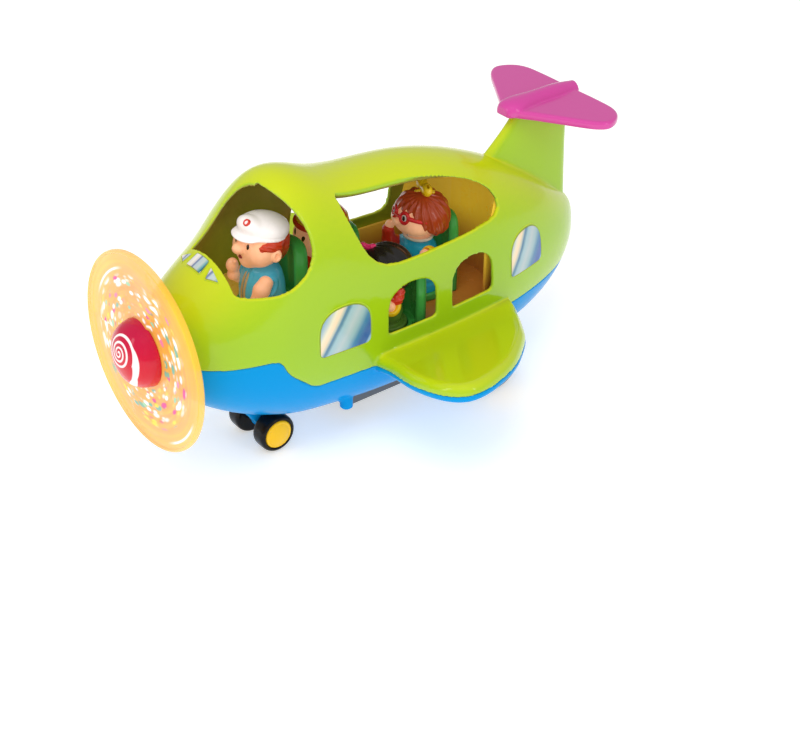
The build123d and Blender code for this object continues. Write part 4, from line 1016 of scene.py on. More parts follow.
    def collar(P):
        q = P - np.array([0.6, 0, h + 0.2], np.float32)
        rr = np.hypot(q[..., 0], q[..., 1] / 1.1)
        return np.sqrt((rr - 9.2) ** 2 + (q[..., 2]) ** 2) - 1.4
    piece(w, "collar", (-12, -14, h - 3), (14, 14, h + 7), collar, WHITEC, h=0.45)


def right_pieces():
    w, (_, _, h, r) = "right_passenger", FIG["right_passenger"]
    zc = h + r * 0.93
    lo, hi = (-22, -25, h - 6), (26, 25, zc + r + 3)

    def skin(P):
        d = head_shape(P, zc, r)
        d = smin(d, ell(P, (r * 1.04, 0, zc - r * 0.30), (2.6, 2.6, 2.2)), 1.8)
        for s in (1, -1):
            d = smin(d, ear(P, s, zc, r), 1.0)
        neck = cap(P, (0, 0, h - 5), (0, 0, h + 4), 8.0)
        return smin(d, neck, 2.0)
    piece(w, "face", lo, hi, skin, SKIN, stands=["right_passenger_head"])

    def mouth(P):
        return ell(P, (r * 0.93, 0, zc - r * 0.58), (1.8, 3.4, 1.6))
    piece(w, "mouth", (10, -6, zc - 13), (20, 6, zc - 6), mouth, MOUTH, h=0.4)

    def hair(P):
        x, y, z = P[..., 0], P[..., 1], P[..., 2]
        d = ell(P, (-1.2, 0, zc + 1.0), (r * 1.08, r * 1.10, r * 1.03))
        a = np.arctan2(y, x)
        line = zc + 7.5 - 9.0 * smoothstep(np.abs(a), 0.7, 1.45)
        face = smax(z - line, -(x + 0.5 + 0.18 * (z - zc)), 1.5)
        d = smax(d, -face, 1.6)
        d = smax(d, -(z - (zc - r * 0.72)), 2.5)
        return d + 0.35 * np.cos(a * 16.0)
    piece(w, "hair", (-21, -21, zc - 14), (20, 21, zc + 19), hair, BROWNH)

    def hat(P):
        d = ell(P, (-1.8, 0, zc + 9.0), (r * 1.06, r * 1.07, 14.0))
        d = smax(d, -(P[..., 2] - (zc + 8.2)), 1.2)
        a = np.arctan2(P[..., 1], P[..., 0])
        d = d + 0.4 * np.cos(a * 6.0) * smoothstep(P[..., 2], zc + 13, zc + 19)
        brim = rcyl(P, (-0.8, 0, zc + 8.4), r * 1.18, 1.3, 1.2)
        top = cap(P, (-1.8, 0, zc + 22), (-1.8, 0, zc + 23), 2.2)
        return smin(smin(d, brim, 2.0), top, 1.5)
    piece(w, "hat", (-23, -22, zc + 4), (21, 22, zc + 28), hat, RED)

    def band(P):
        z = P[..., 2] - (zc + 11.2)
        d = ell(P, (-1.8, 0, zc + 9.0), (r * 1.06 + 0.8, r * 1.07 + 0.8, 14.6))
        return smax(d, np.abs(z) - 1.5, 0.5)
    piece(w, "hat_band", (-22, -21, zc + 8), (20, 21, zc + 15), band, BOWY, h=0.5)

    for s, nm in ((1, "port"), (-1, "star")):
        th = math.radians(s * 25)
        ex, ey = r * 0.98 * math.cos(th), r * 0.99 * math.sin(th)

        def eye(P, ex=ex, ey=ey, s=s):
            return ell(P, (ex, ey, zc - 0.5), (1.6, 3.2, 3.4), rot("Z", s * 25))
        piece(w, "eye_" + nm, (ex - 4, ey - 5, zc - 6), (ex + 4, ey + 5, zc + 5), eye, EYED, h=0.35)

    def shirt(P):
        d = torso(P, h, 15.0, 12.6)
        d = smin(d, ell(P, (0, 0, h * 0.78), (10.2, 14.2, 7.0)), 4.0)
        for s in (1, -1):
            d = smin(d, cap(P, (0.5, s * 14.0, h * 0.74), (8.5, s * 15.6, h * 0.46), 4.8, 4.6), 2.5)
        return smax(d, P[..., 2] - (h + 1.5), 1.5)
    piece(w, "shirt", (-18, -23, -1), (19, 23, h + 4), shirt, RED, stands=["right_passenger_body"])

    def hands(P):
        d = None
        for s in (1, -1):
            a = ell(P, (13.6, s * 13.6, h * 0.40), (4.4, 4.2, 4.2))
            d = a if d is None else np.minimum(d, a)
        return d
    piece(w, "hands", (6, -20, h * 0.2), (21, 20, h * 0.6), hands, SKIN)


pilot_pieces()
rear_pieces()
left_pieces()
right_pieces()

# ---------------------------------------------------------------- seats
SEATS = {"pilot_seat": (82.0, 0.0, 105.0, 43.5), "rear_passenger_seat": (-52.0, 0.0, 70.0, 59.0),
         "left_passenger_seat": (-1.0, 27.0, 70.0, 46.0), "right_passenger_seat": (15.0, -27.0, 70.0, 58.0)}


def seat(name):
    cx, cy, cz, back = SEATS[name]

    def fn(P):
        x, y, z = P[..., 0], P[..., 1], P[..., 2]
        r = np.hypot(x, y)
        base = rcyl(P, (0, 0, 3.0), 18.6, 3.0, 1.4)
        socket = smax(r - 15.5, -(z - 2.0), 0.2)
        base = smax(base, -socket, 0.8)
        # thick wrap-round back with a rolled edge and a padded face
        ang = np.abs(np.arctan2(y, -x))
        mid, half = (25.4, 4.8) if name == "pilot_seat" else (24.2, 3.7)
        side = (ang - 0.77) * mid
        topd = z - back + 13.0 * (ang / 0.80) ** 3.0
        edge = smax(side, topd, 9.0)
        q0, q1 = np.abs(r - mid) - (half - 3.0), edge + 3.0
        d = np.sqrt(np.maximum(q0, 0) ** 2 + np.maximum(q1, 0) ** 2) + np.minimum(np.maximum(q0, q1), 0) - 3.0
        flute = np.exp(-(ang / 0.13) ** 2) + np.exp(-((ang - 0.46) / 0.10) ** 2)
        d = d + 0.38 * flute * smoothstep(z, 8, 14) * (1 - smoothstep(z, back - 16, back - 8))
        d = smax(d, -(z - 0.3), 0.6)
        web = rbox(P, (-19.0, 0, 3.0), (4.4, 11.0, 2.9), 1.0)
        web = smax(web, -(r - 15.6), 0.2)
        return smin(smin(base, web, 0.6), d, 1.2)
    F = Field((-32, -32, -1), (20, 32, back + 3), 0.6)
    V, Q = F.mesh(fn(F.P), name, 2)
    V = (V + np.array([cx, cy, cz])) * MM
    ob = new_mesh("moulded_" + name, V, Q)
    assign(ob, SEATG)
    stand_for(ob, name)


for n in SEATS:
    seat(n)

# ---------------------------------------------------------------- wheels
def wheel_prof(y0, y1, R, rh, rim):
    """Tyre section from the inner face out: soft shoulders, a flat tread, a sunk rim step for the cap."""
    w = y1 - y0
    return rounded_profile([(y0 + 0.6, 2.4), (y0 + 0.5, rh * 0.7), (y0 + 0.3, R * 0.84), (y0 + 0.9, R * 0.95), (y0 + 2.6, R * 0.995),
                            (y0 + w * 0.45, R), (y1 - 3.2, R * 0.992), (y1 - 1.3, R * 0.955), (y1 - 0.35, R * 0.885),
                            (y1 - 0.05, R * 0.82), (y1 - 0.1, rh + 0.9), (y1 - 0.6, rh + 0.25), (y1 - 2.2, rh + 0.1),
                            (y1 - 2.6, rh * 0.8), (y1 - 2.6, 2.4)], 0.5)


def cap_prof(y1, rh, rise):
    """Domed cap with a shallow ring groove."""
    return rounded_profile([(y1 - 3.0, rh * 0.6), (y1 - 2.9, rh * 0.96), (y1 - 1.4, rh), (y1 - 0.5, rh * 0.985), (y1 + 0.1, rh * 0.93),
                            (y1 + 0.35, rh * 0.84), (y1 + 0.2, rh * 0.80), (y1 + 0.42, rh * 0.75),
                            (y1 + rise * 0.75, rh * 0.5), (y1 + rise, rh * 0.2), (y1 + rise, 0.05)], 0.35)


def joined(obs, name):
    """Several meshes as one new object; the originals are removed and no material is carried over."""
    V, F, off = [], [], 0
    for o in obs:
        me = o.data
        V += [tuple(v.co) for v in me.vertices]
        F += [tuple(i + off for i in p.vertices) for p in me.polygons]
        off += len(me.vertices)
        bpy.data.objects.remove(o)
    return new_mesh(name, np.array(V), F)


for pre, x, R, y0, y1, rh, rise in (("front", 86.3, 13.9, 8.6, 21.6, 10.4, 1.5), ("rear", -81.0, 27.0, 41.6, 56.0, 19.0, 2.4)):
    t = [lathe("t%d" % s, wheel_prof(y0, y1, R, rh, 0), (x, 0, R), (0, s, 0), 96) for s in (1, -1)]
    ob = joined(t, pre + "_tyre_pair")
    assign(ob, TYRE)
    stand_for(ob, pre + "_tyres")
    t = [lathe("c%d" % s, cap_prof(y1, rh, rise), (x, 0, R), (0, s, 0), 96) for s in (1, -1)]
    ob = joined(t, pre + "_cap_pair")
    assign(ob, HUB)
    stand_for(ob, pre + "_hub_caps")

# ---------------------------------------------------------------- propeller
PX, PZ, PR = 175.0, 105.2, 68.8


def polar(nt):
    """Radius and angle about the propeller axis, in mm and turns."""
    vec = obj_coord(nt)
    sp = nt.nodes.new("ShaderNodeSeparateXYZ")
    nt.links.new(vec, sp.inputs[0])
    y = math_node(nt, "MULTIPLY", sp.outputs[1], 1000.0)
    z = math_node(nt, "MULTIPLY", math_node(nt, "SUBTRACT", sp.outputs[2], PZ * MM), 1000.0)
    r = math_node(nt, "SQRT", math_node(nt, "ADD", math_node(nt, "MULTIPLY", y, y), math_node(nt, "MULTIPLY", z, z)))
    th = math_node(nt, "MULTIPLY", math_node(nt, "ARCTAN2", z, y), 1 / (2 * math.pi))
    return r, th, vec


def band(nt, v, a0, a1, b0, b1):
    """1 between a1 and b0, soft from a0 and to b1."""
    up_ = nt.nodes.new("ShaderNodeMapRange")
    up_.interpolation_type = "SMOOTHSTEP"
    up_.inputs["From Min"].default_value, up_.inputs["From Max"].default_value = a0, a1
    nt.links.new(v, up_.inputs["Value"])
    dn = nt.nodes.new("ShaderNodeMapRange")
    dn.interpolation_type = "SMOOTHSTEP"
    dn.inputs["From Min"].default_value, dn.inputs["From Max"].default_value = b0, b1
    dn.inputs["To Min"].default_value, dn.inputs["To Max"].default_value = 1.0, 0.0
    nt.links.new(v, dn.inputs["Value"])
    return math_node(nt, "MULTIPLY", up_.outputs[0], dn.outputs[0])


def amber_material():
    mat = bpy.data.materials.new("amber_clear_plastic")
    nt, bs = nodes_of(mat)
    r, th, vec = polar(nt)
    rn = math_node(nt, "MULTIPLY", r, 1 / PR)
    col = ramp(nt, rn, [(0.0, lin((236, 146, 60))), (0.34, lin((240, 176, 84))), (0.62, lin((238, 166, 84))), (0.80, lin((242, 178, 92))),
                        (0.90, lin((240, 190, 66))), (1.0, lin((240, 196, 70)))])
    # the two blades are denser, with deeper amber at the leading side
    blade = math_node(nt, "ABSOLUTE", math_node(nt, "SINE", math_node(nt, "MULTIPLY", th, 2 * math.pi)))
    bm = band(nt, blade, 0.72, 0.96, 1.5, 1.6)
    streak = nt.nodes.new("ShaderNodeCombineXYZ")
    nt.links.new(math_node(nt, "MULTIPLY", th, 5.0), streak.inputs[0])
    nt.links.new(math_node(nt, "MULTIPLY", r, 0.32), streak.inputs[1])
    sn = noise(nt, streak.outputs[0], 1.0, 3.0, 0.6)
    col = mixc(nt, math_node(nt, "MULTIPLY", ramp(nt, sn, [(0.42, (0, 0, 0, 1)), (0.70, (1, 1, 1, 1))]), 0.55), col, lin((255, 214, 70)))
    col = mixc(nt, math_node(nt, "MULTIPLY", bm, 0.18), col, lin((236, 140, 60)))
    # confetti flecks in the clear plastic, drawn out along the turning direction
    masks = []
    for k, (N, dr, th0, lo_, hi_) in enumerate(((24.0, 5.0, 0.44, 26.5, 52.0), (33.0, 4.0, 0.40, 28.0, 51.0))):
        cv = nt.nodes.new("ShaderNodeCombineXYZ")
        nt.links.new(math_node(nt, "MULTIPLY", th, N), cv.inputs[0])
        nt.links.new(math_node(nt, "MULTIPLY", r, 1 / dr), cv.inputs[1])
        cv.inputs[2].default_value = 3.7 * k
        vo = nt.nodes.new("ShaderNodeTexVoronoi")
        vo.inputs["Scale"].default_value = 1.0
        vo.inputs["Randomness"].default_value = 0.85
        nt.links.new(cv.outputs[0], vo.inputs["Vector"])
        m = band(nt, vo.outputs["Distance"], -1.0, -0.9, th0 - 0.16, th0 + 0.08)
        m = math_node(nt, "MULTIPLY", m, band(nt, r, lo_ - 2, lo_, hi_, hi_ + 3))
        sc = nt.nodes.new("ShaderNodeSeparateColor")
        nt.links.new(vo.outputs["Color"], sc.inputs[0])
        pick = band(nt, sc.outputs[1], 0.14, 0.18, 2.0, 3.0)
        m = math_node(nt, "MULTIPLY", m, pick)
        fc = ramp(nt, sc.outputs[0], [(0.0, lin((255, 255, 250))), (0.50, lin((255, 250, 240))), (0.56, lin((214, 70, 150))), (0.64, lin((232, 130, 170))),
                                      (0.70, lin((110, 180, 160))), (0.78, lin((150, 205, 170))), (0.84, lin((250, 214, 70))), (0.93, lin((250, 206, 90)))],
                  "CONSTANT")
        masks.append((m, fc))
    for m, fc in masks:
        col = mixc(nt, m, col, fc)
    # painted highlight: pale arcs near the rim where the turning blade tips catch the light
    rim_glint = None
    for t0, w0, w1, r0 in ((0.378, 0.035, 0.075, 56.6), (-0.122, 0.03, 0.065, 62.6)):
        a = math_node(nt, "ABSOLUTE", math_node(nt, "SUBTRACT", th, t0))
        m = band(nt, a, -1.0, -0.9, w0, w1)
        m = math_node(nt, "MULTIPLY", m, band(nt, r, r0 - 1.5, r0 - 0.5, r0 + 0.2, r0 + 1.1))
        rim_glint = m if rim_glint is None else math_node(nt, "MAXIMUM", rim_glint, m)
    col = mixc(nt, math_node(nt, "MULTIPLY", rim_glint, 0.95), col, (1, 1, 0.97, 1))
    nt.links.new(col, bs.inputs["Base Color"])
    al = ramp(nt, rn, [(0.0, (0.85, 0.85, 0.85, 1)), (0.35, (0.74, 0.74, 0.74, 1)), (0.78, (0.72, 0.72, 0.72, 1)), (0.93, (0.62, 0.62, 0.62, 1)),
                       (1.0, (0.60, 0.60, 0.60, 1))])
    al = math_node(nt, "MAXIMUM", al, math_node(nt, "MULTIPLY", math_node(nt, "MAXIMUM", math_node(nt, "MAXIMUM", masks[0][0], masks[1][0]), rim_glint), 0.94))
    nt.links.new(al, bs.inputs["Alpha"])
    bs.inputs["Roughness"].default_value = 0.16
    bs.inputs["Coat Weight"].default_value = 0.15
    bs.inputs["Specular IOR Level"].default_value = 0.2
    bs.inputs["Coat Roughness"].default_value = 0.05
    # painted light: the disc glows faintly with its own colour
    nt.links.new(col, bs.inputs["Emission Color"])
    bs.inputs["Emission Strength"].default_value = 0.16
    b = nt.nodes.new("ShaderNodeBump")
    b.inputs["Strength"].default_value = 0.25
    b.inputs["Distance"].default_value = 0.0004
    nt.links.new(math_node(nt, "ADD", sn, noise(nt, vec, 45.0, 2.0)), b.inputs["Height"])
    nt.links.new(b.outputs[0], bs.inputs["Normal"])
    return mat


AMBER = amber_material()


def prop_disc():
    nr, nth = ((120, 320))
    rr = np.concatenate([np.linspace(0, PR - 8.0, nr - 30, endpoint=False), PR - 8.0 * np.linspace(1, 0, 30) ** 1.6])
    th = np.arange(nth) * 2 * math.pi / nth
    R_, T_ = np.meshgrid(rr, th, indexing="ij")
    y, z = R_ * np.cos(T_), R_ * np.sin(T_)
    # two paddles, broad at the tip, twisted about their own length
    s = np.sign(z)
    u, v = y, np.abs(z)
    half = 9.0 + 9.5 * smoothstep(v, 12, 46) - 6.0 * smoothstep(v, 52, 66)
    pad = (1 - smoothstep(np.abs(u) / half, 0.74, 1.05)) * smoothstep(v, 10, 20) * (1 - smoothstep(v, 58, 65.5))
    warp = 0.75 * s * np.sin(np.clip(u / half, -1, 1) * math.pi / 2) * pad
    t = 0.9 + 0.95 * pad
    # hub boss, rim bead
    t = t + 1.9 * (1 - smoothstep(R_, 8, 13))
    edge = PR - R_
    bead = 2.4 * np.sqrt(np.clip(1 - ((edge - 1.6) / 1.6) ** 2, 0, 1))
    t = np.where(edge < 1.6, bead, np.maximum(t, 2.4 * (1 - smoothstep(edge, 1.6, 3.6))))
    V, F = [], []
    for side in (1, -1):
        x = PX + side * t + warp
        V.append(np.stack([x, y, z + PZ], -1).reshape(-1, 3))
    n = len(rr)
    i, j = np.meshgrid(np.arange(n - 1), np.arange(nth), indexing="ij")
    k = (j + 1) % nth
    q = np.stack([i * nth + j, (i + 1) * nth + j, (i + 1) * nth + k, i * nth + k], -1).reshape(-1, 4)
    Fq = np.concatenate([q, q[:, ::-1] + n * nth])
    ob = new_mesh("propeller_moulding", np.concatenate(V) * MM, Fq)
    wd = ob.modifiers.new("weld", "WELD")
    wd.merge_threshold = 1e-6
    me = evaluated(ob)
    bpy.data.objects.remove(ob)
    me.polygons.foreach_set("use_smooth", np.ones(len(me.polygons), bool))
    me.name = "propeller_moulding"
    ob = bpy.data.objects.new("propeller_moulding", me)
    bpy.context.scene.collection.objects.link(ob)
    return ob


disc = prop_disc()
collar = lathe("propeller_collar", rounded_profile([(-8.6, 2.9), (-8.7, 5.2), (-8.2, 5.9), (-7.0, 6.0), (-3.0, 6.1), (-1.6, 6.9), (-0.8, 8.4)], 0.5),
               (PX + 1.7, 0, PZ), (1, 0, 0), 64)
assign(disc, AMBER)
assign(collar, AMBER)
stand_for(disc, "propeller")
stand_for(collar, "propeller")


def spinner_material():
    mat = bpy.data.materials.new("crimson_swirl_plastic")
    nt, bs = nodes_of(mat)
    r, th, vec = polar(nt)
    flow = noise(nt, vec, 24.0, 3.0, 0.5, 0.4)
    sp = nt.nodes.new("ShaderNodeSeparateXYZ")
    nt.links.new(vec, sp.inputs[0])
    zz = nt.nodes.new("ShaderNodeMapRange")
    zz.inputs["From Min"].default_value, zz.inputs["From Max"].default_value = PZ * MM - 0.018, PZ * MM + 0.022
    nt.links.new(sp.outputs[2], zz.inputs["Value"])
    zf = math_node(nt, "ADD", math_node(nt, "MULTIPLY", zz.outputs[0], 0.85), math_node(nt, "MULTIPLY", flow, 0.2))
    red = ramp(nt, zf, [(0.15, lin((214, 4, 34))), (0.55, lin((204, 4, 44))), (0.95, lin((188, 4, 64)))])
    # one white arm: it leaves the base edge underneath, then winds in tighter and tighter towards the tip
    sy, sz = math_node(nt, "SUBTRACT", sp.outputs[1], 0.0006), math_node(nt, "SUBTRACT", sp.outputs[2], (PZ + 6.0) * MM)
    rs = math_node(nt, "SQRT", math_node(nt, "ADD", math_node(nt, "MULTIPLY", sy, sy), math_node(nt, "MULTIPLY", sz, sz)))
    ru = math_node(nt, "MULTIPLY", rs, 1000.0 / 32.0)
    ths = math_node(nt, "MULTIPLY", math_node(nt, "ARCTAN2", sz, sy), 1 / (2 * math.pi))
    grey = lambda v: (v, v, v, 1)
    g = ramp(nt, ru, [(0.0, grey(0.96)), (1.5 / 32, grey(0.85)), (4.5 / 32, grey(0.58)), (8.0 / 32, grey(0.33)), (11.0 / 32, grey(0.15)),
                      (13.0 / 32, grey(0.075)), (20.0 / 32, grey(0.03)), (30.0 / 32, grey(0.0))])
    hw = ramp(nt, ru, [(0.0, grey(0.22)), (9.0 / 32, grey(0.20)), (11.0 / 32, grey(0.13)), (13.5 / 32, grey(0.075)), (20.0 / 32, grey(0.036)), (30.0 / 32, grey(0.024))])
    s = math_node(nt, "SUBTRACT", math_node(nt, "ADD", ths, 0.275), math_node(nt, "MULTIPLY", g, 4.0))
    wob = math_node(nt, "MULTIPLY", math_node(nt, "SUBTRACT", noise(nt, vec, 60.0, 2.0), 0.5), 0.03)
    s = math_node(nt, "FRACT", math_node(nt, "ADD", math_node(nt, "ADD", s, wob), 8.0))
    off = math_node(nt, "SUBTRACT", 0.5, math_node(nt, "ABSOLUTE", math_node(nt, "SUBTRACT", s, 0.5)))
    q = math_node(nt, "DIVIDE", off, hw)
    m = band(nt, q, -1.0, -0.5, 0.88, 1.12)
    white = mixc(nt, ramp(nt, flow, [(0.3, (0, 0, 0, 1)), (0.7, (1, 1, 1, 1))]), lin((250, 214, 222)), lin((252, 244, 244)))
    col = mixc(nt, m, red, white)
    nt.links.new(col, bs.inputs["Base Color"])
    rn = math_node(nt, "ADD", math_node(nt, "MULTIPLY", noise(nt, vec, 40.0, 4.0), 0.12), 0.12)
    nt.links.new(rn, bs.inputs["Roughness"])
    bs.inputs["Coat Weight"].default_value = 0.2
    bs.inputs["Coat Roughness"].default_value = 0.05
    bs.inputs["Specular IOR Level"].default_value = 0.3
    b = nt.nodes.new("ShaderNodeBump")
    b.inputs["Strength"].default_value = 0.10
    b.inputs["Distance"].default_value = 0.0005
    nt.links.new(math_node(nt, "ADD", math_node(nt, "MULTIPLY", m, 0.6), noise(nt, vec, 90.0, 2.0)), b.inputs["Height"])
    nt.links.new(b.outputs[0], bs.inputs["Normal"])
    return mat


SWIRL = spinner_material()
spin = lathe("spinner_cone", rounded_profile([(1.0, 19.0), (1.05, 22.6), (1.6, 23.4), (3.0, 23.4), (7.4, 22.3), (10.5, 20.8), (13.1, 18.8), (15.3, 15.9),
                                              (17.1, 12.4), (18.4, 8.4), (19.2, 4.2), (19.4, 1.6), (19.45, 0.05)], 0.3), (PX, 0, PZ), (1, 0, 0), 128)
assign(spin, SWIRL)
stand_for(spin, "spinner")


# ---------------------------------------------------------------- stickers and their moulded frames
def sticker_material():
    mat = bpy.data.materials.new("sticker_blue")
    nt, bs = nodes_of(mat)
    vec = obj_coord(nt)
    sp = nt.nodes.new("ShaderNodeSeparateXYZ")
    nt.links.new(vec, sp.inputs[0])
    x = math_node(nt, "MULTIPLY", sp.outputs[0], -1000.0)
    z = math_node(nt, "MULTIPLY", sp.outputs[2], 1000.0)
    u = math_node(nt, "ADD", math_node(nt, "MULTIPLY", x, 0.87), math_node(nt, "MULTIPLY", z, -0.50))
    u = math_node(nt, "ADD", u, math_node(nt, "MULTIPLY", math_node(nt, "SUBTRACT", noise(nt, vec, 60.0, 3.0), 0.5), 1.6))
    return mat, nt, bs, u, vec


def band_sticker(name, u0, u1, stops):
    mat, nt, bs, u, vec = sticker_material()
    mat.name = name
    mr = nt.nodes.new("ShaderNodeMapRange")
    mr.inputs["From Min"].default_value, mr.inputs["From Max"].default_value = u0, u1
    nt.links.new(u, mr.inputs["Value"])
    col = ramp(nt, mr.outputs[0], [(p, lin(c)) for p, c in stops])
    sheen = noise(nt, vec, 120.0, 3.0)
    col = mixc(nt, math_node(nt, "MULTIPLY", sheen, 0.12), col, (1, 1, 1, 1))
    nt.links.new(col, bs.inputs["Base Color"])
    bs.inputs["Roughness"].default_value = 0.22
    bs.inputs["Coat Weight"].default_value = 0.4
    bs.inputs["Coat Roughness"].default_value = 0.08
    return mat


WSTOPS = [(0.0, (150, 176, 190)), (0.10, (236, 226, 196)), (0.24, (246, 214, 176)), (0.34, (196, 198, 190)), (0.385, (70, 128, 160)),
          (0.43, (60, 120, 150)), (0.48, (150, 186, 196)), (0.62, (176, 192, 196)), (0.76, (120, 160, 180)), (0.86, (20, 110, 170)),
          (0.95, (0, 84, 160)), (1.0, (150, 190, 220))]


def window_material():
    mat, nt, bs, _, vec = sticker_material()
    mat.name = "sticker_blue"
    sp = nt.nodes.new("ShaderNodeSeparateXYZ")
    nt.links.new(vec, sp.inputs[0])
    u = math_node(nt, "ADD", math_node(nt, "MULTIPLY", sp.outputs[0], -840.0), math_node(nt, "MULTIPLY", sp.outputs[2], -543.0))
    u = math_node(nt, "ADD", u, math_node(nt, "MULTIPLY", math_node(nt, "SUBTRACT", noise(nt, vec, 70.0, 3.0), 0.5), 1.4))
    f = math_node(nt, "FRACT", math_node(nt, "MULTIPLY", math_node(nt, "ADD", u, 123.0), 1 / 47.0))
    k = 43 / 47.0
    stops = [(0.0, (120, 165, 190)), (0.07, (176, 196, 200)), (0.14, (236, 226, 196)), (0.22, (246, 216, 180)), (0.275, (176, 188, 178)),
             (0.305, (58, 118, 160)), (0.335, (60, 120, 150)), (0.385, (146, 186, 198)), (0.52, (178, 194, 198)), (0.64, (140, 178, 186)),
             (0.74, (26, 118, 166)), (0.86, (0, 80, 162)), (0.95, (0, 88, 168)), (0.985, (150, 190, 220))]
    col = ramp(nt, f, [(p * k, lin(c)) for p, c in stops])
    sheen = noise(nt, vec, 140.0, 3.0)
    col = mixc(nt, math_node(nt, "MULTIPLY", sheen, 0.10), col, (1, 1, 1, 1))
    nt.links.new(col, bs.inputs["Base Color"])
    bs.inputs["Roughness"].default_value = 0.25
    bs.inputs["Coat Weight"].default_value = 0.3
    bs.inputs["Coat Roughness"].default_value = 0.08
    return mat


def nose_material():
    mat, nt, bs, _, vec = sticker_material()
    mat.name = "nose_pane_print"
    sp = nt.nodes.new("ShaderNodeSeparateXYZ")
    nt.links.new(vec, sp.inputs[0])
    u = math_node(nt, "ADD", math_node(nt, "MULTIPLY", sp.outputs[1], 1000.0), math_node(nt, "MULTIPLY", sp.outputs[0], 90.0))
    f = math_node(nt, "FRACT", math_node(nt, "MULTIPLY", math_node(nt, "ADD", u, 7.0 - 11.8), 1 / 14.6))
    col = ramp(nt, f, [(0.0, lin((216, 222, 226))), (0.20, lin((240, 236, 230))), (0.36, lin((206, 206, 214))), (0.41, lin((104, 120, 166))),
                       (0.46, lin((120, 140, 178))), (0.52, lin((182, 202, 214))), (0.74, lin((190, 206, 206))), (0.88, lin((110, 170, 180))),
                       (0.97, lin((20, 110, 140)))])
    nt.links.new(col, bs.inputs["Base Color"])
    bs.inputs["Roughness"].default_value = 0.25
    bs.inputs["Coat Weight"].default_value = 0.3
    return mat


assign(NODES["window_stickers"], window_material())
assign(NODES["nose_stickers"], nose_material())
bpy.context.view_layer.update()


def arch_points(d0, d1, z0, z1, grow=0.0):
    d0, d1, z0, z1 = d0 - grow, d1 + grow, z0 - grow, z1 + grow
    w, cd = d1 - d0, (d0 + d1) / 2
    zs = z0 + (z1 - z0) * 0.50
    pts = []
    for k in range(13):
        t = math.pi * k / 12
        cc, s = math.cos(t), math.sin(t)
        pts.append((cd + (w / 2) * math.copysign(abs(cc) ** 0.85, cc), zs + (z1 - zs) * s ** 0.85))
    r = 3.0 + grow
    for (px, pz, a0) in ((d0 + r, z0 + r, 180), (d1 - r, z0 + r, 270)):
        for k in range(4):
            t = math.radians(a0 + 30 * k)
            pts.append((px + r * math.cos(t), pz + r * math.sin(t)))
    return pts


def resample(pts, n):
    P = np.array(pts + [pts[0]], float)
    s = np.concatenate([[0], np.cumsum(np.linalg.norm(np.diff(P, axis=0), axis=1))])
    t = np.linspace(0, s[-1], n, endpoint=False)
    Q = np.stack([np.interp(t, s, P[:, k]) for k in range(P.shape[1])], 1)
    for _ in range(2):
        Q = 0.5 * Q + 0.25 * (np.roll(Q, 1, 0) + np.roll(Q, -1, 0))
    return Q


def loop_tube(name, pts, nrm, rad, lift, mat, squash=1.0):
    """A closed moulded lip of round section following points on the shell."""
    P, N = np.array(pts, float), np.array(nrm, float)
    for _ in range(6):
        N = 0.5 * N + 0.25 * (np.roll(N, 1, 0) + np.roll(N, -1, 0))
        P = 0.6 * P + 0.2 * (np.roll(P, 1, 0) + np.roll(P, -1, 0))
    N /= np.linalg.norm(N, axis=1)[:, None]
    T = np.roll(P, -1, 0) - np.roll(P, 1, 0)
    T /= np.linalg.norm(T, axis=1)[:, None]
    B = np.cross(T, N)
    B /= np.linalg.norm(B, axis=1)[:, None]
    m, V = 10, []
    for k in range(m):
        a = 2 * math.pi * k / m
        V.append(P + N * (lift + rad * squash * math.sin(a)) + B * rad * math.cos(a))
    V = np.stack(V, 1).reshape(-1, 3)
    n = len(P)
    i, j = np.meshgrid(np.arange(n), np.arange(m), indexing="ij")
    i2, j2 = (i + 1) % n, (j + 1) % m
    Q = np.stack([i * m + j, i2 * m + j, i2 * m + j2, i * m + j2], -1).reshape(-1, 4)
    ob = new_mesh(name, V * MM, Q)
    assign(ob, mat)
    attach(ob, "airframe")
    return ob


def on_shell(target, pts, start, direction):
    out, nn = [], []
    for p in pts:
        o = Vector(start(p)) * MM
        hit, loc, n, _ = target.ray_cast(o, Vector(direction))
        if not hit:
            continue
        out.append(np.array(loc) * 1000)
        nn.append(np.array(n) if n.dot(Vector(direction)) < 0 else -np.array(n))
    return out, nn


# painted shade: a thin dark olive tube stands for the shadow line in the recess round each sticker and nose pane
RECESS_SHADE = plastic("sticker_recess_shade", (150, 160, 60), dark=(120, 130, 40), rough=0.35, coat=0.1, edge=0.0)
for wn, (d0, d1, z0, z1) in (("front", (100, 139.5, 89, 121.5)), ("rear", (270, 305.5, 88.5, 118.5))):
    for s, sd in ((1, "port"), (-1, "star")):
        for grow, rad, lift, mat, tag in ((0.25, 0.42, -0.12, RECESS_SHADE, "edge"), (1.25, 0.62, -0.28, GREEN, "lip")):
            pts = resample(arch_points(d0, d1, z0, z1, grow), 120)
            P_, N_ = on_shell(upper, pts, lambda p: (175 - p[0], s * 95, p[1]), (0, -s, 0))
            if len(P_) > 100:
                loop_tube("window_%s_%s_%s_%s" % (tag, wn, sd, "m"), P_, N_, rad, lift, mat)

PANES = [[(47.6, -6.8), (47.6, 6.8), (39.6, 7.4), (39.6, -7.4)], [(46, 11.4), (44.6, 21), (40.4, 13.6)], [(46, -11.4), (44.6, -21), (40.4, -13.6)]]
for k, pane in enumerate(PANES):
    c = np.mean(pane, 0)
    for grow, rad, lift, mat, tag in ((0.3, 0.34, -0.08, RECESS_SHADE, "edge"), (1.3, 0.5, -0.18, GREEN, "lip")):
        g = [tuple(np.array(p) + (np.array(p) - c) / np.linalg.norm(np.array(p) - c) * grow) for p in pane]
        pts = resample(g, 72)
        P_, N_ = on_shell(upper, pts, lambda p: (175 - p[0], p[1], 180), (0, 0, -1))
        if len(P_) > 60:
            loop_tube("nose_pane_%s_%d" % (tag, k), P_, N_, rad, lift, mat)

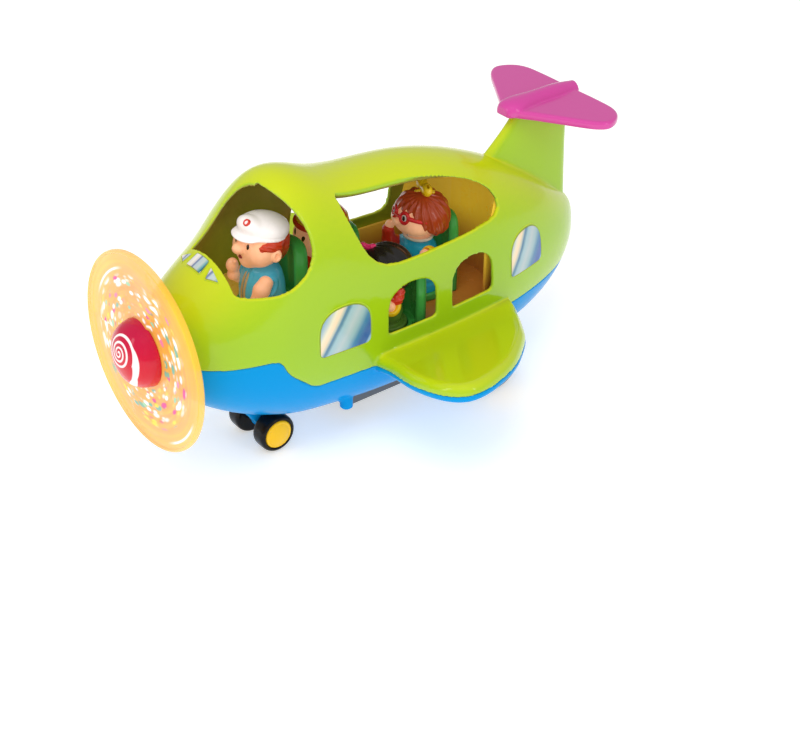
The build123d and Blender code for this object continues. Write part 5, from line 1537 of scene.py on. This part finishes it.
# ---------------------------------------------------------------- stage, lights, camera
fl = bpy.data.meshes.new("floor")
fl.from_pydata([(-6, -6, 0), (6, -6, 0), (6, 6, 0), (-6, 6, 0)], [], [(0, 1, 2, 3)])
floor = bpy.data.objects.new("floor", fl)
bpy.context.scene.collection.objects.link(floor)
fm = bpy.data.materials.new("floor_white")
nt, bs = nodes_of(fm)
bs.inputs["Base Color"].default_value = (0.93, 0.93, 0.92, 1)
bs.inputs["Roughness"].default_value = 0.8
bs.inputs["Emission Color"].default_value = (1.0, 1.0, 0.98, 1)
bs.inputs["Emission Strength"].default_value = 0.42
floor.data.materials.append(fm)

world = bpy.data.worlds.new("studio")
bpy.context.scene.world = world
world.use_nodes = True
bg = world.node_tree.nodes["Background"]
bg.inputs[0].default_value = (1.0, 1.0, 1.0, 1)
bg.inputs[1].default_value = 0.58


def area(name, loc, target, size, power, color=(1, 1, 1), size_y=None):
    l = bpy.data.lights.new(name, "AREA")
    l.shape = "RECTANGLE"
    l.size, l.size_y = size, size_y or size
    l.energy = power
    l.color = color
    o = bpy.data.objects.new(name, l)
    o.location = loc
    o.rotation_euler = (Vector(target) - Vector(loc)).to_track_quat("-Z", "Y").to_euler()
    bpy.context.scene.collection.objects.link(o)
    return o


key = area("key", (0.5, 0.35, 1.5), (0, 0, 0.1), 0.9, 7.6, (1.0, 0.97, 0.88))
fill = area("fill", (1.35, 1.55, 1.15), (0, 0, 0.12), 1.0, 9.0, (1.0, 0.98, 0.93))
key.visible_glossy = fill.visible_glossy = False
area("strip_left", (1.3, -0.2, 0.8), (0, 0, 0.1), 0.25, 2.2, (1, 1, 1), 1.0)
area("strip_right", (-0.3, 1.5, 0.9), (0, 0, 0.1), 0.2, 2.2, (1, 1, 1), 1.0)

cam_data = bpy.data.cameras.new("camera")
cam = bpy.data.objects.new("camera", cam_data)
bpy.context.scene.collection.objects.link(cam)
YAW, PITCH, ROLL = 0.91804, 0.52709, 0.004
fw = Vector((-math.cos(PITCH) * math.cos(YAW), -math.cos(PITCH) * math.sin(YAW), -math.sin(PITCH)))
right = fw.cross(Vector((0, 0, 1))).normalized()
up = right.cross(fw)
cr, sr = math.cos(ROLL), math.sin(ROLL)
r2 = right * cr + up * sr
u2 = -right * sr + up * cr
cam.matrix_world = Matrix.Translation((0.6474, 0.8403, 0.72165)) @ Matrix((r2, u2, -fw)).transposed().to_4x4()
cam_data.sensor_width = 36.0
cam_data.lens = 79.63
cam_data.shift_x = 0.05625
cam_data.shift_y = -0.13125
cam_data.clip_start, cam_data.clip_end = 0.05, 50
bpy.context.scene.camera = cam
bpy.context.scene.view_settings.view_transform = "Standard"
bpy.context.scene.view_settings.look = "None"
